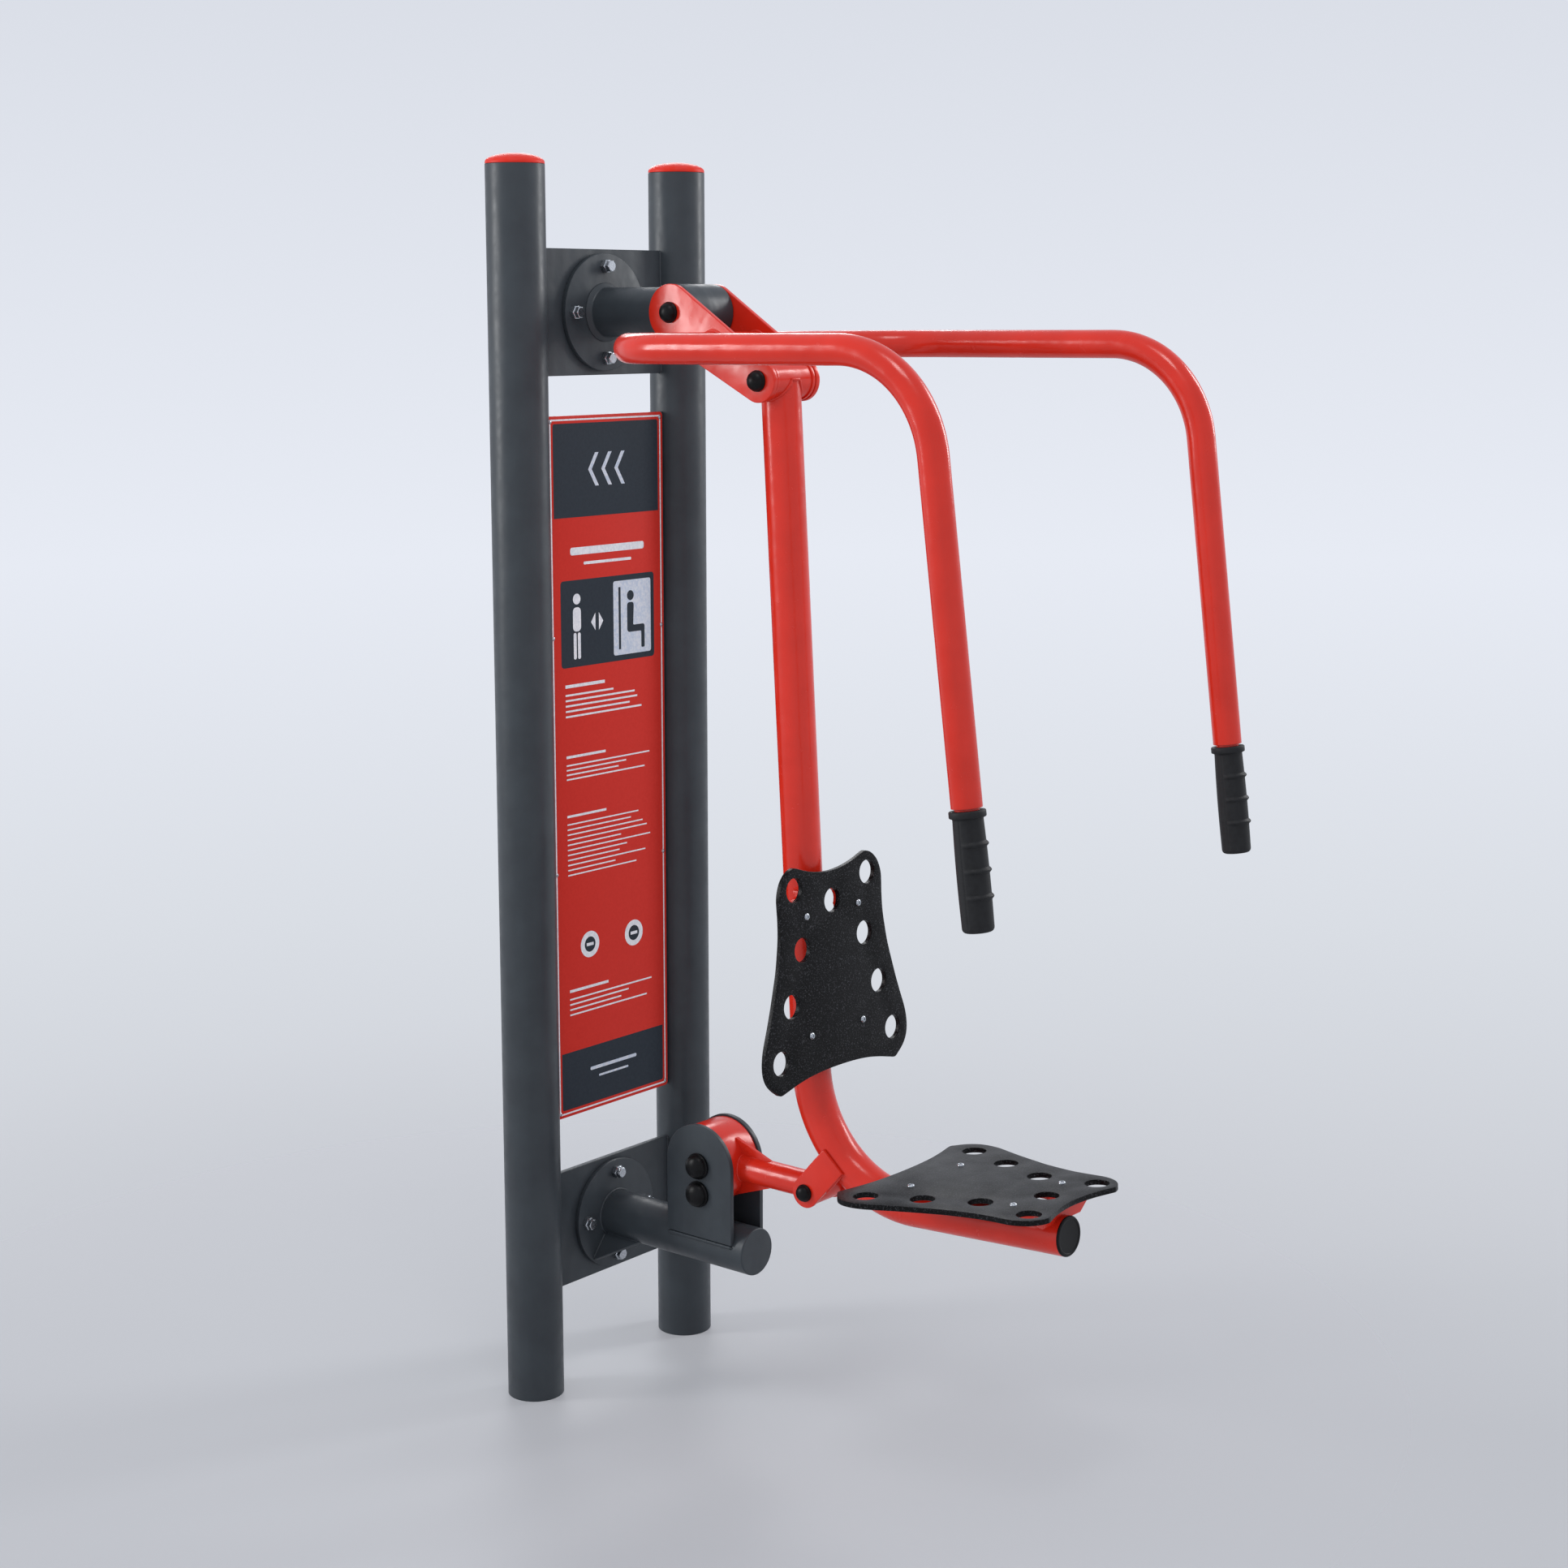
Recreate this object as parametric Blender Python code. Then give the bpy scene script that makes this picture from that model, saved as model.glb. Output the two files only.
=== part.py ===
import bpy
import bmesh
import math
from mathutils import Matrix, Vector

# Outdoor seated chest press. Metres, Z up, user facing -Y, posts on Y = 0, symmetric about X = 0.

GAP = 0.0003
FIT = 0.0001
WELD_DIST = 0.00001
CUT_OVER = 0.020

# Posts, caps and feet.
POST_R = 0.045
POST_WALL = 0.0036
POST_X = 0.1817
POST_OVER = 0.2188
DOME_H = 0.0157
DOME_LIP = 0.0022
CAP_PLUG = 0.030
FOOT_T = 0.008

# Cross plates, flanges and their bolts.
CROSS_T = 0.008
CROSS_H = 0.1930
LOWER_Z = 0.2577
FLANGE_R = 0.0900
FLANGE_T = 0.008
BOLT_PCD_R = 0.0705
BOLT_HOLE_R = 0.0056
BOLT_SHANK_R = 0.0052
BOLT_HEAD_R = 0.0094
BOLT_HEAD_H = 0.0070
BOLT_NUT_R = 0.0110
BOLT_NUT_H = 0.0080
BOLT_BEVEL = 0.0010
BOLT_TAIL = 0.0032
PLATE_CHAMFER = 0.0008

# Support tubes and the upper bearing housing.
ARM_TUBE_R = 0.0380
ARM_TUBE_WALL = 0.0036
O1_Y = -0.1937
HOUSING_R = 0.0424
HOUSING_WALL = 0.0075
HOUSING_HALF = 0.0446
BEARING_W = 0.018
LOWER_END_Y = -0.3154
END_PLATE_T = 0.005
GUSSET_T = 0.006
GUSSET_RISE = 0.0870
GUSSET_LEN = 0.0750
GUSSET_FOOT = 0.0030
GUSSET_NOSE = 0.0009
GUSSET_ANGLE = math.radians(51.0)

# Upper link.
LINK_L = 0.1980
LINK_DROP = math.radians(30.0)
LINK_R1 = 0.0424
LINK_R2 = 0.0320
LINK_T = 0.0080
LINK_OUT = 0.0538
AXLE_R = 0.0080
CAP_R = 0.0158
CAP_RIM_H = 0.0040
CAP_H = 0.0150
CAP_STEP = 0.0012

# Handlebar and grips.
BAR_R = 0.0210
BAR_WALL = 0.0026
BAR_X = 0.3305
BAR_R1 = 0.150
BAR_R2 = 0.1550
BAR_CORNER_Y = -0.8708
BAR_CORNER_DOWN = 0.0456
BAR_END_Y = -0.9468
BAR_END_DOWN = 0.6273
NECK_R = 0.0168
NECK_WALL = 0.0026
NECK_LEN = 0.1500
NECK_SHOULDER = 0.0100
GRIP_START = 0.0030
GRIP_COLLAR_R = 0.0246
GRIP_COLLAR_H = 0.0095
GRIP_COLLAR_BEVEL = 0.0019
GRIP_R_TOP = 0.0200
GRIP_R_END = 0.0212
GRIP_LEN = 0.1590
GRIP_END_T = 0.0060
GRIP_BULGE = 0.0012
RIB_H = 0.0032
RIB_HALF = 0.0042
RIB_TOP_HALF = 0.0017
RIB_FIRST = 0.0440
RIB_PITCH = 0.0345
RIB_COUNT = 3
# How fast a rib rises from the grip's side seam, and its height there as a share of RIB_H.
RIB_RISE = 2.2
RIB_SIDE_SHARE = 0.55
# (radius drop, height left) of the grip's rounded end, as shares of GRIP_END_T.
GRIP_END_SHARES = [(0.1, 0.55), (0.4, 0.15), (0.8, 0.0)]

# Seat frame, in its own frame at the seat pivot: -Z down the upright, -Y towards the user's knees.
SEAT_TILT = math.radians(3.333)
HUB_R = 0.0285
HUB_WALL = 0.0060
HUB_RING_R = 0.0306
HUB_RING_W = 0.0060
HUB_CLEAR = 0.0010
SEAT_R = 0.0299
SEAT_WALL = 0.0032
SEAT_DOWN = 1.2375
SEAT_BEND = 0.1928
SEAT_RUN = 0.4619
PLUG_T = 0.0035
PLUG_DEPTH = 0.0250
PLUG_BEVEL = 0.0017
PANEL_OFF = 0.0550
PANEL_T = 0.0080
PANEL_CHAMFER = 0.0010
BACK_UP = 0.4874
SEAT_INSET = 0.0049
PANEL_HALF = 0.1736
PANEL_LEN = 0.2537
PANEL_HOLE_R = 0.0185
PANEL_MID_HOLE = 0.0291
SCREW_X = 0.0627
SCREW_S1 = 0.0441
SCREW_BACK = 0.0273
SCREW_HOLE_R = 0.0032
BRACKET_HALF = 0.0835
BRACKET_T = 0.0040
BRACKET_OUTER = 0.0396
BRACKET_INNER = 0.0154
BRACKET_DROP = 0.0251
BRACKET_LOW_HALF = 0.0490
BRACKET_NOTCH_R = 0.0185
BRACKET_NOTCH_IN = 0.0022
SADDLE_BORE = 0.0060
EAR_T = 0.0060
EAR_R = 0.0240
EAR_LEN = 0.0800
EYE_Y = -0.0047
EYE_RISE = 0.0026
EYE_LIFT = 0.00036
EYE_PIN_R = 0.0060
EYE_SLACK = 0.0030
EYE_SIDE = 0.0010
SMALL_CAP_R = 0.0136
SMALL_CAP_H = 0.0125

# Half outline of the seat and back plates from the narrow end: (across as a share of PANEL_HALF,
# along as a share of PANEL_LEN, counted from the narrow row of holes).
PANEL_OUTLINE_SHARES = [
    (0.000, -0.063), (0.121, -0.068), (0.242, -0.081), (0.357, -0.101), (0.478, -0.128), (0.521, -0.127),
    (0.570, -0.115), (0.619, -0.091), (0.660, -0.059), (0.691, -0.016), (0.709, 0.035), (0.709, 0.095),
    (0.706, 0.154), (0.711, 0.255), (0.733, 0.358), (0.764, 0.464), (0.810, 0.571), (0.861, 0.682),
    (0.916, 0.789), (0.968, 0.883), (0.992, 0.946), (1.000, 1.009), (0.988, 1.064), (0.953, 1.112),
    (0.904, 1.147), (0.853, 1.173), (0.804, 1.191), (0.714, 1.179), (0.576, 1.157), (0.403, 1.137),
    (0.202, 1.126), (0.000, 1.123),
]
PANEL_HOLE_SHARES = [(0.508, 0.0), (0.786, 1.0), (0.434, 0.365), (0.611, 0.684)]

# Lower link and clevis.
H_Y = -0.2283
CLEVIS_R = 0.0668
CLEVIS_OUT = 0.0400
CLEVIS_T = 0.0080
CLEVIS_FOOT = 0.0158
SHELL_R = 0.0645
SHELL_WALL = 0.0090
SHELL_SIDE = 0.0006
SHELL_CLEAR = 0.0317
CORE_CLEAR = 0.0006
STUD_R = 0.0080
STUD_DROP = 0.0461
BIG_CAP_R = 0.0211
BIG_CAP_H = 0.0185
BIG_RIM_H = 0.0050
LOW_ARM_R = 0.0213
LOW_ARM_WALL = 0.0036
EYE_R = 0.0220
FIN_T = 0.0060
FIN_ANGLE = math.radians(47.0)
FIN_REACH = 0.0530
FIN_FOOT = 0.0030
FIN_NOSE = 0.0006
FIN_NOSE_LEN = 0.0018
WELD_IN = 0.0050

# Sign board.
SIGN_HALF = 0.1320
SIGN_BELOW = 0.1575
SIGN_ABOVE = 0.1883
SIGN_FRONT = 0.0100
SIGN_T = 0.0030
SIGN_CORNER = 0.0060
RAIL_T = 0.0040
RAIL_W = 0.0280

# Places that follow: up from the lower tube over both pivots of the seat frame to the upper tube and posts.
H_Z = LOWER_Z + ARM_TUBE_R + SHELL_CLEAR + SHELL_R
EYE_Z = EYE_RISE - SEAT_DOWN
P1_Y = O1_Y - LINK_L * math.cos(LINK_DROP)
P1_Z = H_Z + EYE_LIFT + EYE_Y * math.sin(SEAT_TILT) - EYE_Z * math.cos(SEAT_TILT)
UPPER_Z = P1_Z + LINK_L * math.sin(LINK_DROP)
POST_H = UPPER_Z + POST_OVER
BAR_CORNER_Z = UPPER_Z - BAR_CORNER_DOWN
BAR_END_Z = UPPER_Z - BAR_END_DOWN
SIGN_TOP = UPPER_Z - SIGN_BELOW
SIGN_BOTTOM = LOWER_Z + SIGN_ABOVE
BACK_S0 = SEAT_DOWN - BACK_UP
SEAT_S0 = SEAT_RUN - SEAT_INSET
SCREW_S2 = PANEL_LEN - SCREW_BACK

# Numbers of sides, and the least share of a corner's offset used in mitres.
SEG_POST = 28
SEG_TUBE = 20
SEG_BAR = 16
SEG_SMALL = 12
MITRE_LEAST_SHARE = 0.35

for o in list(bpy.data.objects):
    bpy.data.objects.remove(o, do_unlink=True)
parts = bpy.data.collections.new("outdoor_chest_press")
bpy.context.scene.collection.children.link(parts)
cuts = bpy.data.collections.new("cutters")
bpy.context.scene.collection.children.link(cuts)


def material(name, rgb, rough, metal=0.0):
    m = bpy.data.materials.new(name)
    m.use_nodes = True
    b = m.node_tree.nodes["Principled BSDF"]
    b.inputs["Base Color"].default_value = (rgb[0], rgb[1], rgb[2], 1.0)
    b.inputs["Roughness"].default_value = rough
    b.inputs["Metallic"].default_value = metal
    return m


# Colour, roughness and metallic value of each finish.
LOOK = {
    "red": ((0.62, 0.035, 0.024), 0.35, 0.0),
    "grey": ((0.045, 0.051, 0.057), 0.45, 0.0),
    "black": ((0.012, 0.012, 0.013), 0.6, 0.0),
    "zinc": ((0.62, 0.64, 0.66), 0.3, 1.0),
    "sign": ((0.4, 0.03, 0.02), 0.4, 0.0),
}


def empty(name, loc, turn=0.0):
    e = bpy.data.objects.new(name, None)
    e.location = loc
    e.rotation_euler = (turn, 0.0, 0.0)
    parts.objects.link(e)
    return e


def finish(name, bm, look, parent=None, sharp=35.0, cutter=False):
    """Makes the object of a bmesh: a part in its own material, or a hidden cutter."""
    bmesh.ops.remove_doubles(bm, verts=bm.verts, dist=WELD_DIST)
    bmesh.ops.recalc_face_normals(bm, faces=bm.faces)
    me = bpy.data.meshes.new(name)
    bm.to_mesh(me)
    bm.free()
    ob = bpy.data.objects.new(name, me)
    if cutter:
        cuts.objects.link(ob)
        ob.hide_render = True
        ob.display_type = "WIRE"
    else:
        parts.objects.link(ob)
        me.materials.append(material(name, *LOOK[look]))
        me.shade_smooth()
        me.set_sharp_from_angle(angle=math.radians(sharp))
    if parent is not None:
        ob.parent = parent
    return ob


def tool(name, bm, parent=None):
    return finish(name, bm, None, parent, cutter=True)


def cut(ob, cutter, kind="DIFFERENCE"):
    m = ob.modifiers.new("cut_%02d" % len(ob.modifiers), "BOOLEAN")
    m.object = cutter
    m.operation = kind
    m.solver = "EXACT"


def gather(pieces):
    """Several bmeshes as one."""
    out = bmesh.new()
    for piece in pieces:
        tmp = bpy.data.meshes.new("tmp")
        piece.to_mesh(tmp)
        piece.free()
        out.from_mesh(tmp)
        bpy.data.meshes.remove(tmp)
    return out


ALONG = {
    "X": Matrix.Rotation(math.radians(90.0), 4, "Y"),
    "Y": Matrix.Rotation(math.radians(90.0), 4, "X"),
    "Z": Matrix.Identity(4),
}


def lathe(profile, segs, axis="Z", at=(0.0, 0.0, 0.0), loop=False, turn=0.0):
    """Turns (radius, height) points about the axis; loop closes a ring section."""
    bm = bmesh.new()
    angles = [turn + 2.0 * math.pi * k / segs for k in range(segs)]
    rows = []
    for r, h in profile:
        if r == 0.0:
            rows.append([bm.verts.new((0.0, 0.0, h))])
        else:
            rows.append([bm.verts.new((r * math.cos(a), r * math.sin(a), h)) for a in angles])
    pairs = list(zip(rows[:-1], rows[1:]))
    if loop:
        pairs.append((rows[-1], rows[0]))
    join_rows(bm, pairs, segs)
    bmesh.ops.transform(bm, matrix=Matrix.Translation(Vector(at)) @ ALONG[axis], verts=bm.verts)
    return bm


def join_rows(bm, pairs, segs):
    """Faces between neighbouring rings; a ring of one vertex is a pole."""
    for a, b in pairs:
        for k in range(segs):
            n = (k + 1) % segs
            if len(a) == 1 and len(b) == 1:
                continue
            if len(a) == 1:
                bm.faces.new((a[0], b[k], b[n]))
            elif len(b) == 1:
                bm.faces.new((a[k], b[0], a[n]))
            else:
                bm.faces.new((a[k], b[k], b[n], a[n]))


def rod(r, h0, h1, segs, axis, at=(0.0, 0.0, 0.0), turn=0.0):
    return lathe([(0.0, h0), (r, h0), (r, h1), (0.0, h1)], segs, axis, at, turn=turn)


def rod_x(r, x0, x1, y, z, segs=SEG_SMALL, turn=0.0):
    return rod(r, x0, x1, segs, "X", (0.0, y, z), turn)


def ring_x(ri, ro, x0, x1, y, z, segs=SEG_TUBE):
    return lathe([(ri, x0), (ro, x0), (ro, x1), (ri, x1)], segs, "X", (0.0, y, z), loop=True)


def inset(points, d):
    """Moves each corner of a counter-clockwise outline inwards by d along its mitre."""
    out = []
    n = len(points)
    for i in range(n):
        a = Vector(points[i - 1])
        b = Vector(points[i])
        c = Vector(points[(i + 1) % n])
        u = (b - a).normalized()
        v = (c - b).normalized()
        nu = Vector((-u.y, u.x))
        nv = Vector((-v.y, v.x))
        m = (nu + nv).normalized()
        out.append(b + m * d / max(MITRE_LEAST_SHARE, m.dot(nu)))
    return out


def slab(points, t0, t1, frame, chamfer=0.0):
    """Extrudes a counter-clockwise outline from t0 to t1 along the third axis of frame."""
    bm = bmesh.new()
    if chamfer > 0.0:
        small = inset(points, chamfer)
        rows = [(small, t0), (points, t0 + chamfer), (points, t1 - chamfer), (small, t1)]
    else:
        rows = [(points, t0), (points, t1)]
    rings = [[bm.verts.new((p[0], p[1], t)) for p in pts] for pts, t in rows]
    n = len(points)
    for a, b in zip(rings[:-1], rings[1:]):
        for k in range(n):
            j = (k + 1) % n
            bm.faces.new((a[k], a[j], b[j], b[k]))
    bm.faces.new(list(reversed(rings[0])))
    bm.faces.new(rings[-1])
    bmesh.ops.transform(bm, matrix=frame, verts=bm.verts)
    return bm


def basis(ex, ey, ez, at=(0.0, 0.0, 0.0)):
    m = Matrix.Identity(4)
    for i, v in enumerate((ex, ey, ez)):
        for j in range(3):
            m[j][i] = v[j]
    return Matrix.Translation(Vector(at)) @ m


def box_points(x0, x1, y0, y1):
    return [(x0, y0), (x1, y0), (x1, y1), (x0, y1)]


def arc(cx, cy, r, a0, a1, n):
    angles = [a0 + (a1 - a0) * k / n for k in range(n + 1)]
    return [(cx + r * math.cos(a), cy + r * math.sin(a)) for a in angles]


def route(corners, radii, steps):
    """Centreline with filleted corners, as (position, tangent) pairs."""
    out = [(corners[0], (corners[1] - corners[0]).normalized())]
    for i in range(1, len(corners) - 1):
        b = corners[i]
        u = (corners[i - 1] - b).normalized()
        v = (corners[i + 1] - b).normalized()
        ang = u.angle(v)
        r = radii[i - 1]
        cen = b + (u + v).normalized() * r / math.sin(ang / 2.0)
        s = b + u * r / math.tan(ang / 2.0)
        w1 = (s - cen).normalized()
        w2 = -u
        for k in range(steps + 1):
            q = (math.pi - ang) * k / steps
            spot = cen + (w1 * math.cos(q) + w2 * math.sin(q)) * r
            out.append((spot, w2 * math.cos(q) - w1 * math.sin(q)))
    out.append((corners[-1], (corners[-1] - corners[-2]).normalized()))
    return out


def sweep(path, outer, inner, segs, start):
    """Hollow tube through (position, tangent) pairs with outer and inner radii at each."""
    bm = bmesh.new()
    side = Vector(start)
    angles = [2.0 * math.pi * k / segs for k in range(segs)]
    rings = []
    for (p, t), ro, ri in zip(path, outer, inner):
        side = (side - t * side.dot(t)).normalized()
        other = t.cross(side)
        dirs = [side * math.cos(a) + other * math.sin(a) for a in angles]
        rings.append(([bm.verts.new(p + d * ro) for d in dirs], [bm.verts.new(p + d * ri) for d in dirs]))
    for (a, ai), (b, bi) in zip(rings[:-1], rings[1:]):
        for k in range(segs):
            n = (k + 1) % segs
            bm.faces.new((a[k], a[n], b[n], b[k]))
            bm.faces.new((ai[k], bi[k], bi[n], ai[n]))
    for (a, ai), flip in ((rings[0], False), (rings[-1], True)):
        for k in range(segs):
            n = (k + 1) % segs
            f = (a[k], ai[k], ai[n], a[n])
            bm.faces.new(tuple(reversed(f)) if flip else f)
    return bm


def cap(name, look, r, rim, h, x, y, z, side, parent=None):
    """Domed bolt cap with a rim, standing out along X."""
    dome = r - CAP_STEP
    prof = [(0.0, 0.0), (r, 0.0), (r, rim - CAP_STEP), (dome, rim)]
    steps = 4
    for k in range(1, steps):
        q = 0.5 * math.pi * k / steps
        prof.append((dome * math.cos(q), rim + (h - rim) * math.sin(q)))
    prof.append((0.0, h))
    points = [(a, side * (x + b)) for a, b in prof]
    return finish(name, lathe(points, SEG_SMALL, "X", (0.0, y, z)), look, parent, sharp=50.0)


def span(side, inner, outer):
    """The lower and upper ends of a stretch at inner to outer from the centre, on one side."""
    return sorted((side * inner, side * outer))


SIDES = ((-1.0, "left"), (1.0, "right"))

# Axis frames.
upper_axis = empty("upper_link_axis", (0.0, O1_Y, UPPER_Z))
seat_axis = empty("seat_axis", (0.0, P1_Y, P1_Z), -SEAT_TILT)
lower_axis = empty("lower_link_axis", (0.0, H_Y, H_Z))
LINK_DY = P1_Y - O1_Y
LINK_DZ = P1_Z - UPPER_Z

# Posts.
post_in = POST_R - POST_WALL
for side, tag in SIDES:
    at = (side * POST_X, 0.0, 0.0)
    prof = [(post_in, 0.0), (POST_R, 0.0), (POST_R, POST_H), (post_in, POST_H)]
    finish("post_" + tag, lathe(prof, SEG_POST, at=at, loop=True), "grey")
    finish("post_foot_" + tag, rod(post_in - GAP, 0.0, FOOT_T, SEG_POST, "Z", at), "grey")
    plug_r = post_in - GAP
    base = POST_H + GAP
    prof = [(0.0, POST_H - CAP_PLUG), (plug_r, POST_H - CAP_PLUG), (plug_r, base)]
    prof += [(POST_R, base), (POST_R, base + DOME_LIP)]
    steps = 5
    for k in range(1, steps):
        q = 0.5 * math.pi * k / steps
        prof.append((POST_R * math.cos(q), base + DOME_LIP + (DOME_H - DOME_LIP) * math.sin(q)))
    prof.append((0.0, base + DOME_H))
    finish("post_cap_" + tag, lathe(prof, SEG_POST, at=at), "red", sharp=50.0)

# Cross plates between the posts.
cross_half = POST_X - POST_R - GAP
cross_front = -CROSS_T / 2.0
flange_back = -cross_front + GAP
flange_front = flange_back + FLANGE_T
bolt_spots = [(0.0, 1.0), (-1.0, 0.0), (0.0, -1.0), (1.0, 0.0)]
bore = ARM_TUBE_R - ARM_TUBE_WALL
flange = [
    (bore, flange_back), (FLANGE_R - PLATE_CHAMFER, flange_back), (FLANGE_R, flange_back + PLATE_CHAMFER),
    (FLANGE_R, flange_front - PLATE_CHAMFER), (FLANGE_R - PLATE_CHAMFER, flange_front),
    (ARM_TUBE_R, flange_front),
]
for z, tag in ((UPPER_Z, "upper"), (LOWER_Z, "lower")):
    plate_frame = basis((1, 0, 0), (0, 0, 1), (0, -1, 0), (0.0, 0.0, z))
    points = box_points(-cross_half, cross_half, -CROSS_H / 2.0, CROSS_H / 2.0)
    plate = slab(points, cross_front, CROSS_T / 2.0, plate_frame, PLATE_CHAMFER)
    plate = finish(tag + "_cross_plate", plate, "grey")
    places = [(sx * BOLT_PCD_R, 0.0, z + sz * BOLT_PCD_R) for sx, sz in bolt_spots]
    h0 = -CUT_OVER
    h1 = flange_front + CUT_OVER
    turn = 0.5 * math.pi / SEG_SMALL
    drills = [rod(BOLT_HOLE_R, h0, h1, SEG_SMALL, "Y", p, turn) for p in places]
    drill = tool(tag + "_bolt_holes", gather(drills))
    cut(plate, drill)
    # Flange with its tube, one welded piece.
    if tag == "upper":
        tube_end = -O1_Y - HOUSING_R / 2.0
        body = flange + [(ARM_TUBE_R, tube_end), (bore, tube_end)]
    else:
        tube_end = -LOWER_END_Y
        body = [(0.0, tube_end - END_PLATE_T), (bore, tube_end - END_PLATE_T)] + flange
        body += [(ARM_TUBE_R, tube_end - PLATE_CHAMFER), (ARM_TUBE_R - PLATE_CHAMFER, tube_end)]
        body.append((0.0, tube_end))
    bracket = lathe(body, SEG_POST, "Y", (0.0, 0.0, z), loop=tag == "upper")
    bracket = finish(tag + "_bracket", bracket, "grey")
    if tag == "upper":
        cut(bracket, drill)
        turn = 0.6 * math.pi / SEG_POST
        shell = rod_x(HOUSING_R, -HOUSING_HALF, HOUSING_HALF, O1_Y, z, SEG_POST, turn)
        reach = HOUSING_HALF + CUT_OVER
        bored = rod_x(HOUSING_R - HOUSING_WALL, -reach, reach, O1_Y, z, SEG_POST, turn)
        cut(bracket, tool("housing_shell", shell), "UNION")
        cut(bracket, tool("housing_bore", bored))
    else:
        inner = ARM_TUBE_R - ARM_TUBE_WALL / 2.0
        low = flange_back + FLANGE_T / 2.0
        tri = [
            (inner, low), (GUSSET_RISE, low), (GUSSET_RISE, flange_front + GUSSET_FOOT),
            (ARM_TUBE_R + GUSSET_NOSE, flange_front + GUSSET_LEN), (inner, flange_front + GUSSET_LEN),
        ]
        webs = []
        for s in (-1.0, 1.0):
            d = Vector((s * math.cos(GUSSET_ANGLE), 0.0, -math.sin(GUSSET_ANGLE)))
            ahead = Vector((0.0, -1.0, 0.0))
            web_frame = basis(d, ahead, d.cross(ahead), (0.0, 0.0, z))
            webs.append(slab(tri, -GUSSET_T / 2.0, GUSSET_T / 2.0, web_frame))
        cut(bracket, tool("gussets", gather(webs)), "UNION")
        cut(bracket, drill)
    # Each bolt with its nut, washer face and tail.
    f = flange_front + GAP
    b = CROSS_T / 2.0 + GAP
    top = f + BOLT_NUT_H + BOLT_HEAD_H
    low = b + BOLT_NUT_H
    prof = [
        (0.0, top), (BOLT_HEAD_R - BOLT_BEVEL, top), (BOLT_HEAD_R, top - BOLT_BEVEL),
        (BOLT_HEAD_R, f + BOLT_NUT_H), (BOLT_NUT_R - BOLT_BEVEL, f + BOLT_NUT_H),
        (BOLT_NUT_R, f + BOLT_NUT_H - BOLT_BEVEL), (BOLT_NUT_R, f),
        (BOLT_SHANK_R, f), (BOLT_SHANK_R, -b), (BOLT_NUT_R, -b), (BOLT_NUT_R, -low), (BOLT_SHANK_R, -low),
        (BOLT_SHANK_R, -low - BOLT_TAIL), (0.0, -low - BOLT_TAIL),
    ]
    for k, place in enumerate(places):
        finish("%s_bolt_%d" % (tag, k + 1), lathe(prof, 6, "Y", place), "zinc", sharp=20.0)

# Bearings in the upper housing, and the two axles of the upper link.
for side, tag in SIDES:
    x0, x1 = span(side, HOUSING_HALF - BEARING_W, HOUSING_HALF - GAP)
    race = HOUSING_R - HOUSING_WALL - GAP
    finish("upper_bearing_" + tag, ring_x(AXLE_R + FIT, race, x0, x1, O1_Y, UPPER_Z), "black")
finish("upper_axle", rod_x(AXLE_R, -LINK_OUT, LINK_OUT, 0.0, 0.0), "zinc", upper_axis)
finish("seat_axle", rod_x(AXLE_R, -LINK_OUT, LINK_OUT, LINK_DY, LINK_DZ), "zinc", upper_axis)

# Link plates, with the handlebar's crossbar through the middle of each.
ux = (LINK_DY / LINK_L, LINK_DZ / LINK_L)
lean = math.acos((LINK_R1 - LINK_R2) / LINK_L)
link_points = arc(0.0, 0.0, LINK_R1, lean, 2.0 * math.pi - lean, 26)
link_points += arc(LINK_L, 0.0, LINK_R2, -lean, lean, 18)
link_frame = basis((0.0, ux[0], ux[1]), (0.0, -ux[1], ux[0]), (1.0, 0.0, 0.0))
BAR_Y = LINK_DY / 2.0
BAR_Z = LINK_DZ / 2.0
over = LINK_OUT + CUT_OVER
spots = ((AXLE_R, 0.0, 0.0), (AXLE_R, LINK_DY, LINK_DZ), (BAR_R, BAR_Y, BAR_Z))
bores = gather([rod_x(r + GAP, -over, over, y, z, SEG_BAR) for r, y, z in spots])
bores = tool("link_bores", bores, upper_axis)
for side, tag in SIDES:
    x0, x1 = span(side, LINK_OUT - LINK_T, LINK_OUT)
    plate = slab(link_points, x0, x1, link_frame, PLATE_CHAMFER)
    cut(finish("link_plate_" + tag, plate, "red", upper_axis), bores)
    x = LINK_OUT + GAP
    cap("upper_axle_cap_" + tag, "black", CAP_R, CAP_RIM_H, CAP_H, x, 0.0, 0.0, side, upper_axis)
    cap("seat_axle_cap_" + tag, "black", CAP_R, CAP_RIM_H, CAP_H, x, LINK_DY, LINK_DZ, side, upper_axis)

# Handlebar: crossbar, two forward runs, two drops, and a thinner neck inside each grip.
end = Vector((BAR_X, BAR_END_Y - O1_Y, BAR_END_Z - UPPER_Z))
corner = Vector((BAR_X, BAR_CORNER_Y - O1_Y, BAR_CORNER_Z - UPPER_Z))
drop = (end - corner).normalized()
middle = Vector((0.0, BAR_Y, BAR_Z))
right = route([middle, Vector((BAR_X, BAR_Y, BAR_Z)), corner, end], [BAR_R1, BAR_R2], 7)[1:]
tip = end + drop * NECK_LEN
shoulder = end - drop * NECK_SHOULDER
right = right[:-1] + [(shoulder, drop), (shoulder, drop), (end, drop), (end, drop), (tip, drop)]
ro = [BAR_R] * (len(right) - 2) + [NECK_R] * 2
ri = [BAR_R - BAR_WALL] * (len(right) - 4) + [NECK_R - NECK_WALL] * 4


def mirror(v):
    return Vector((-v.x, v.y, v.z))


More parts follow.
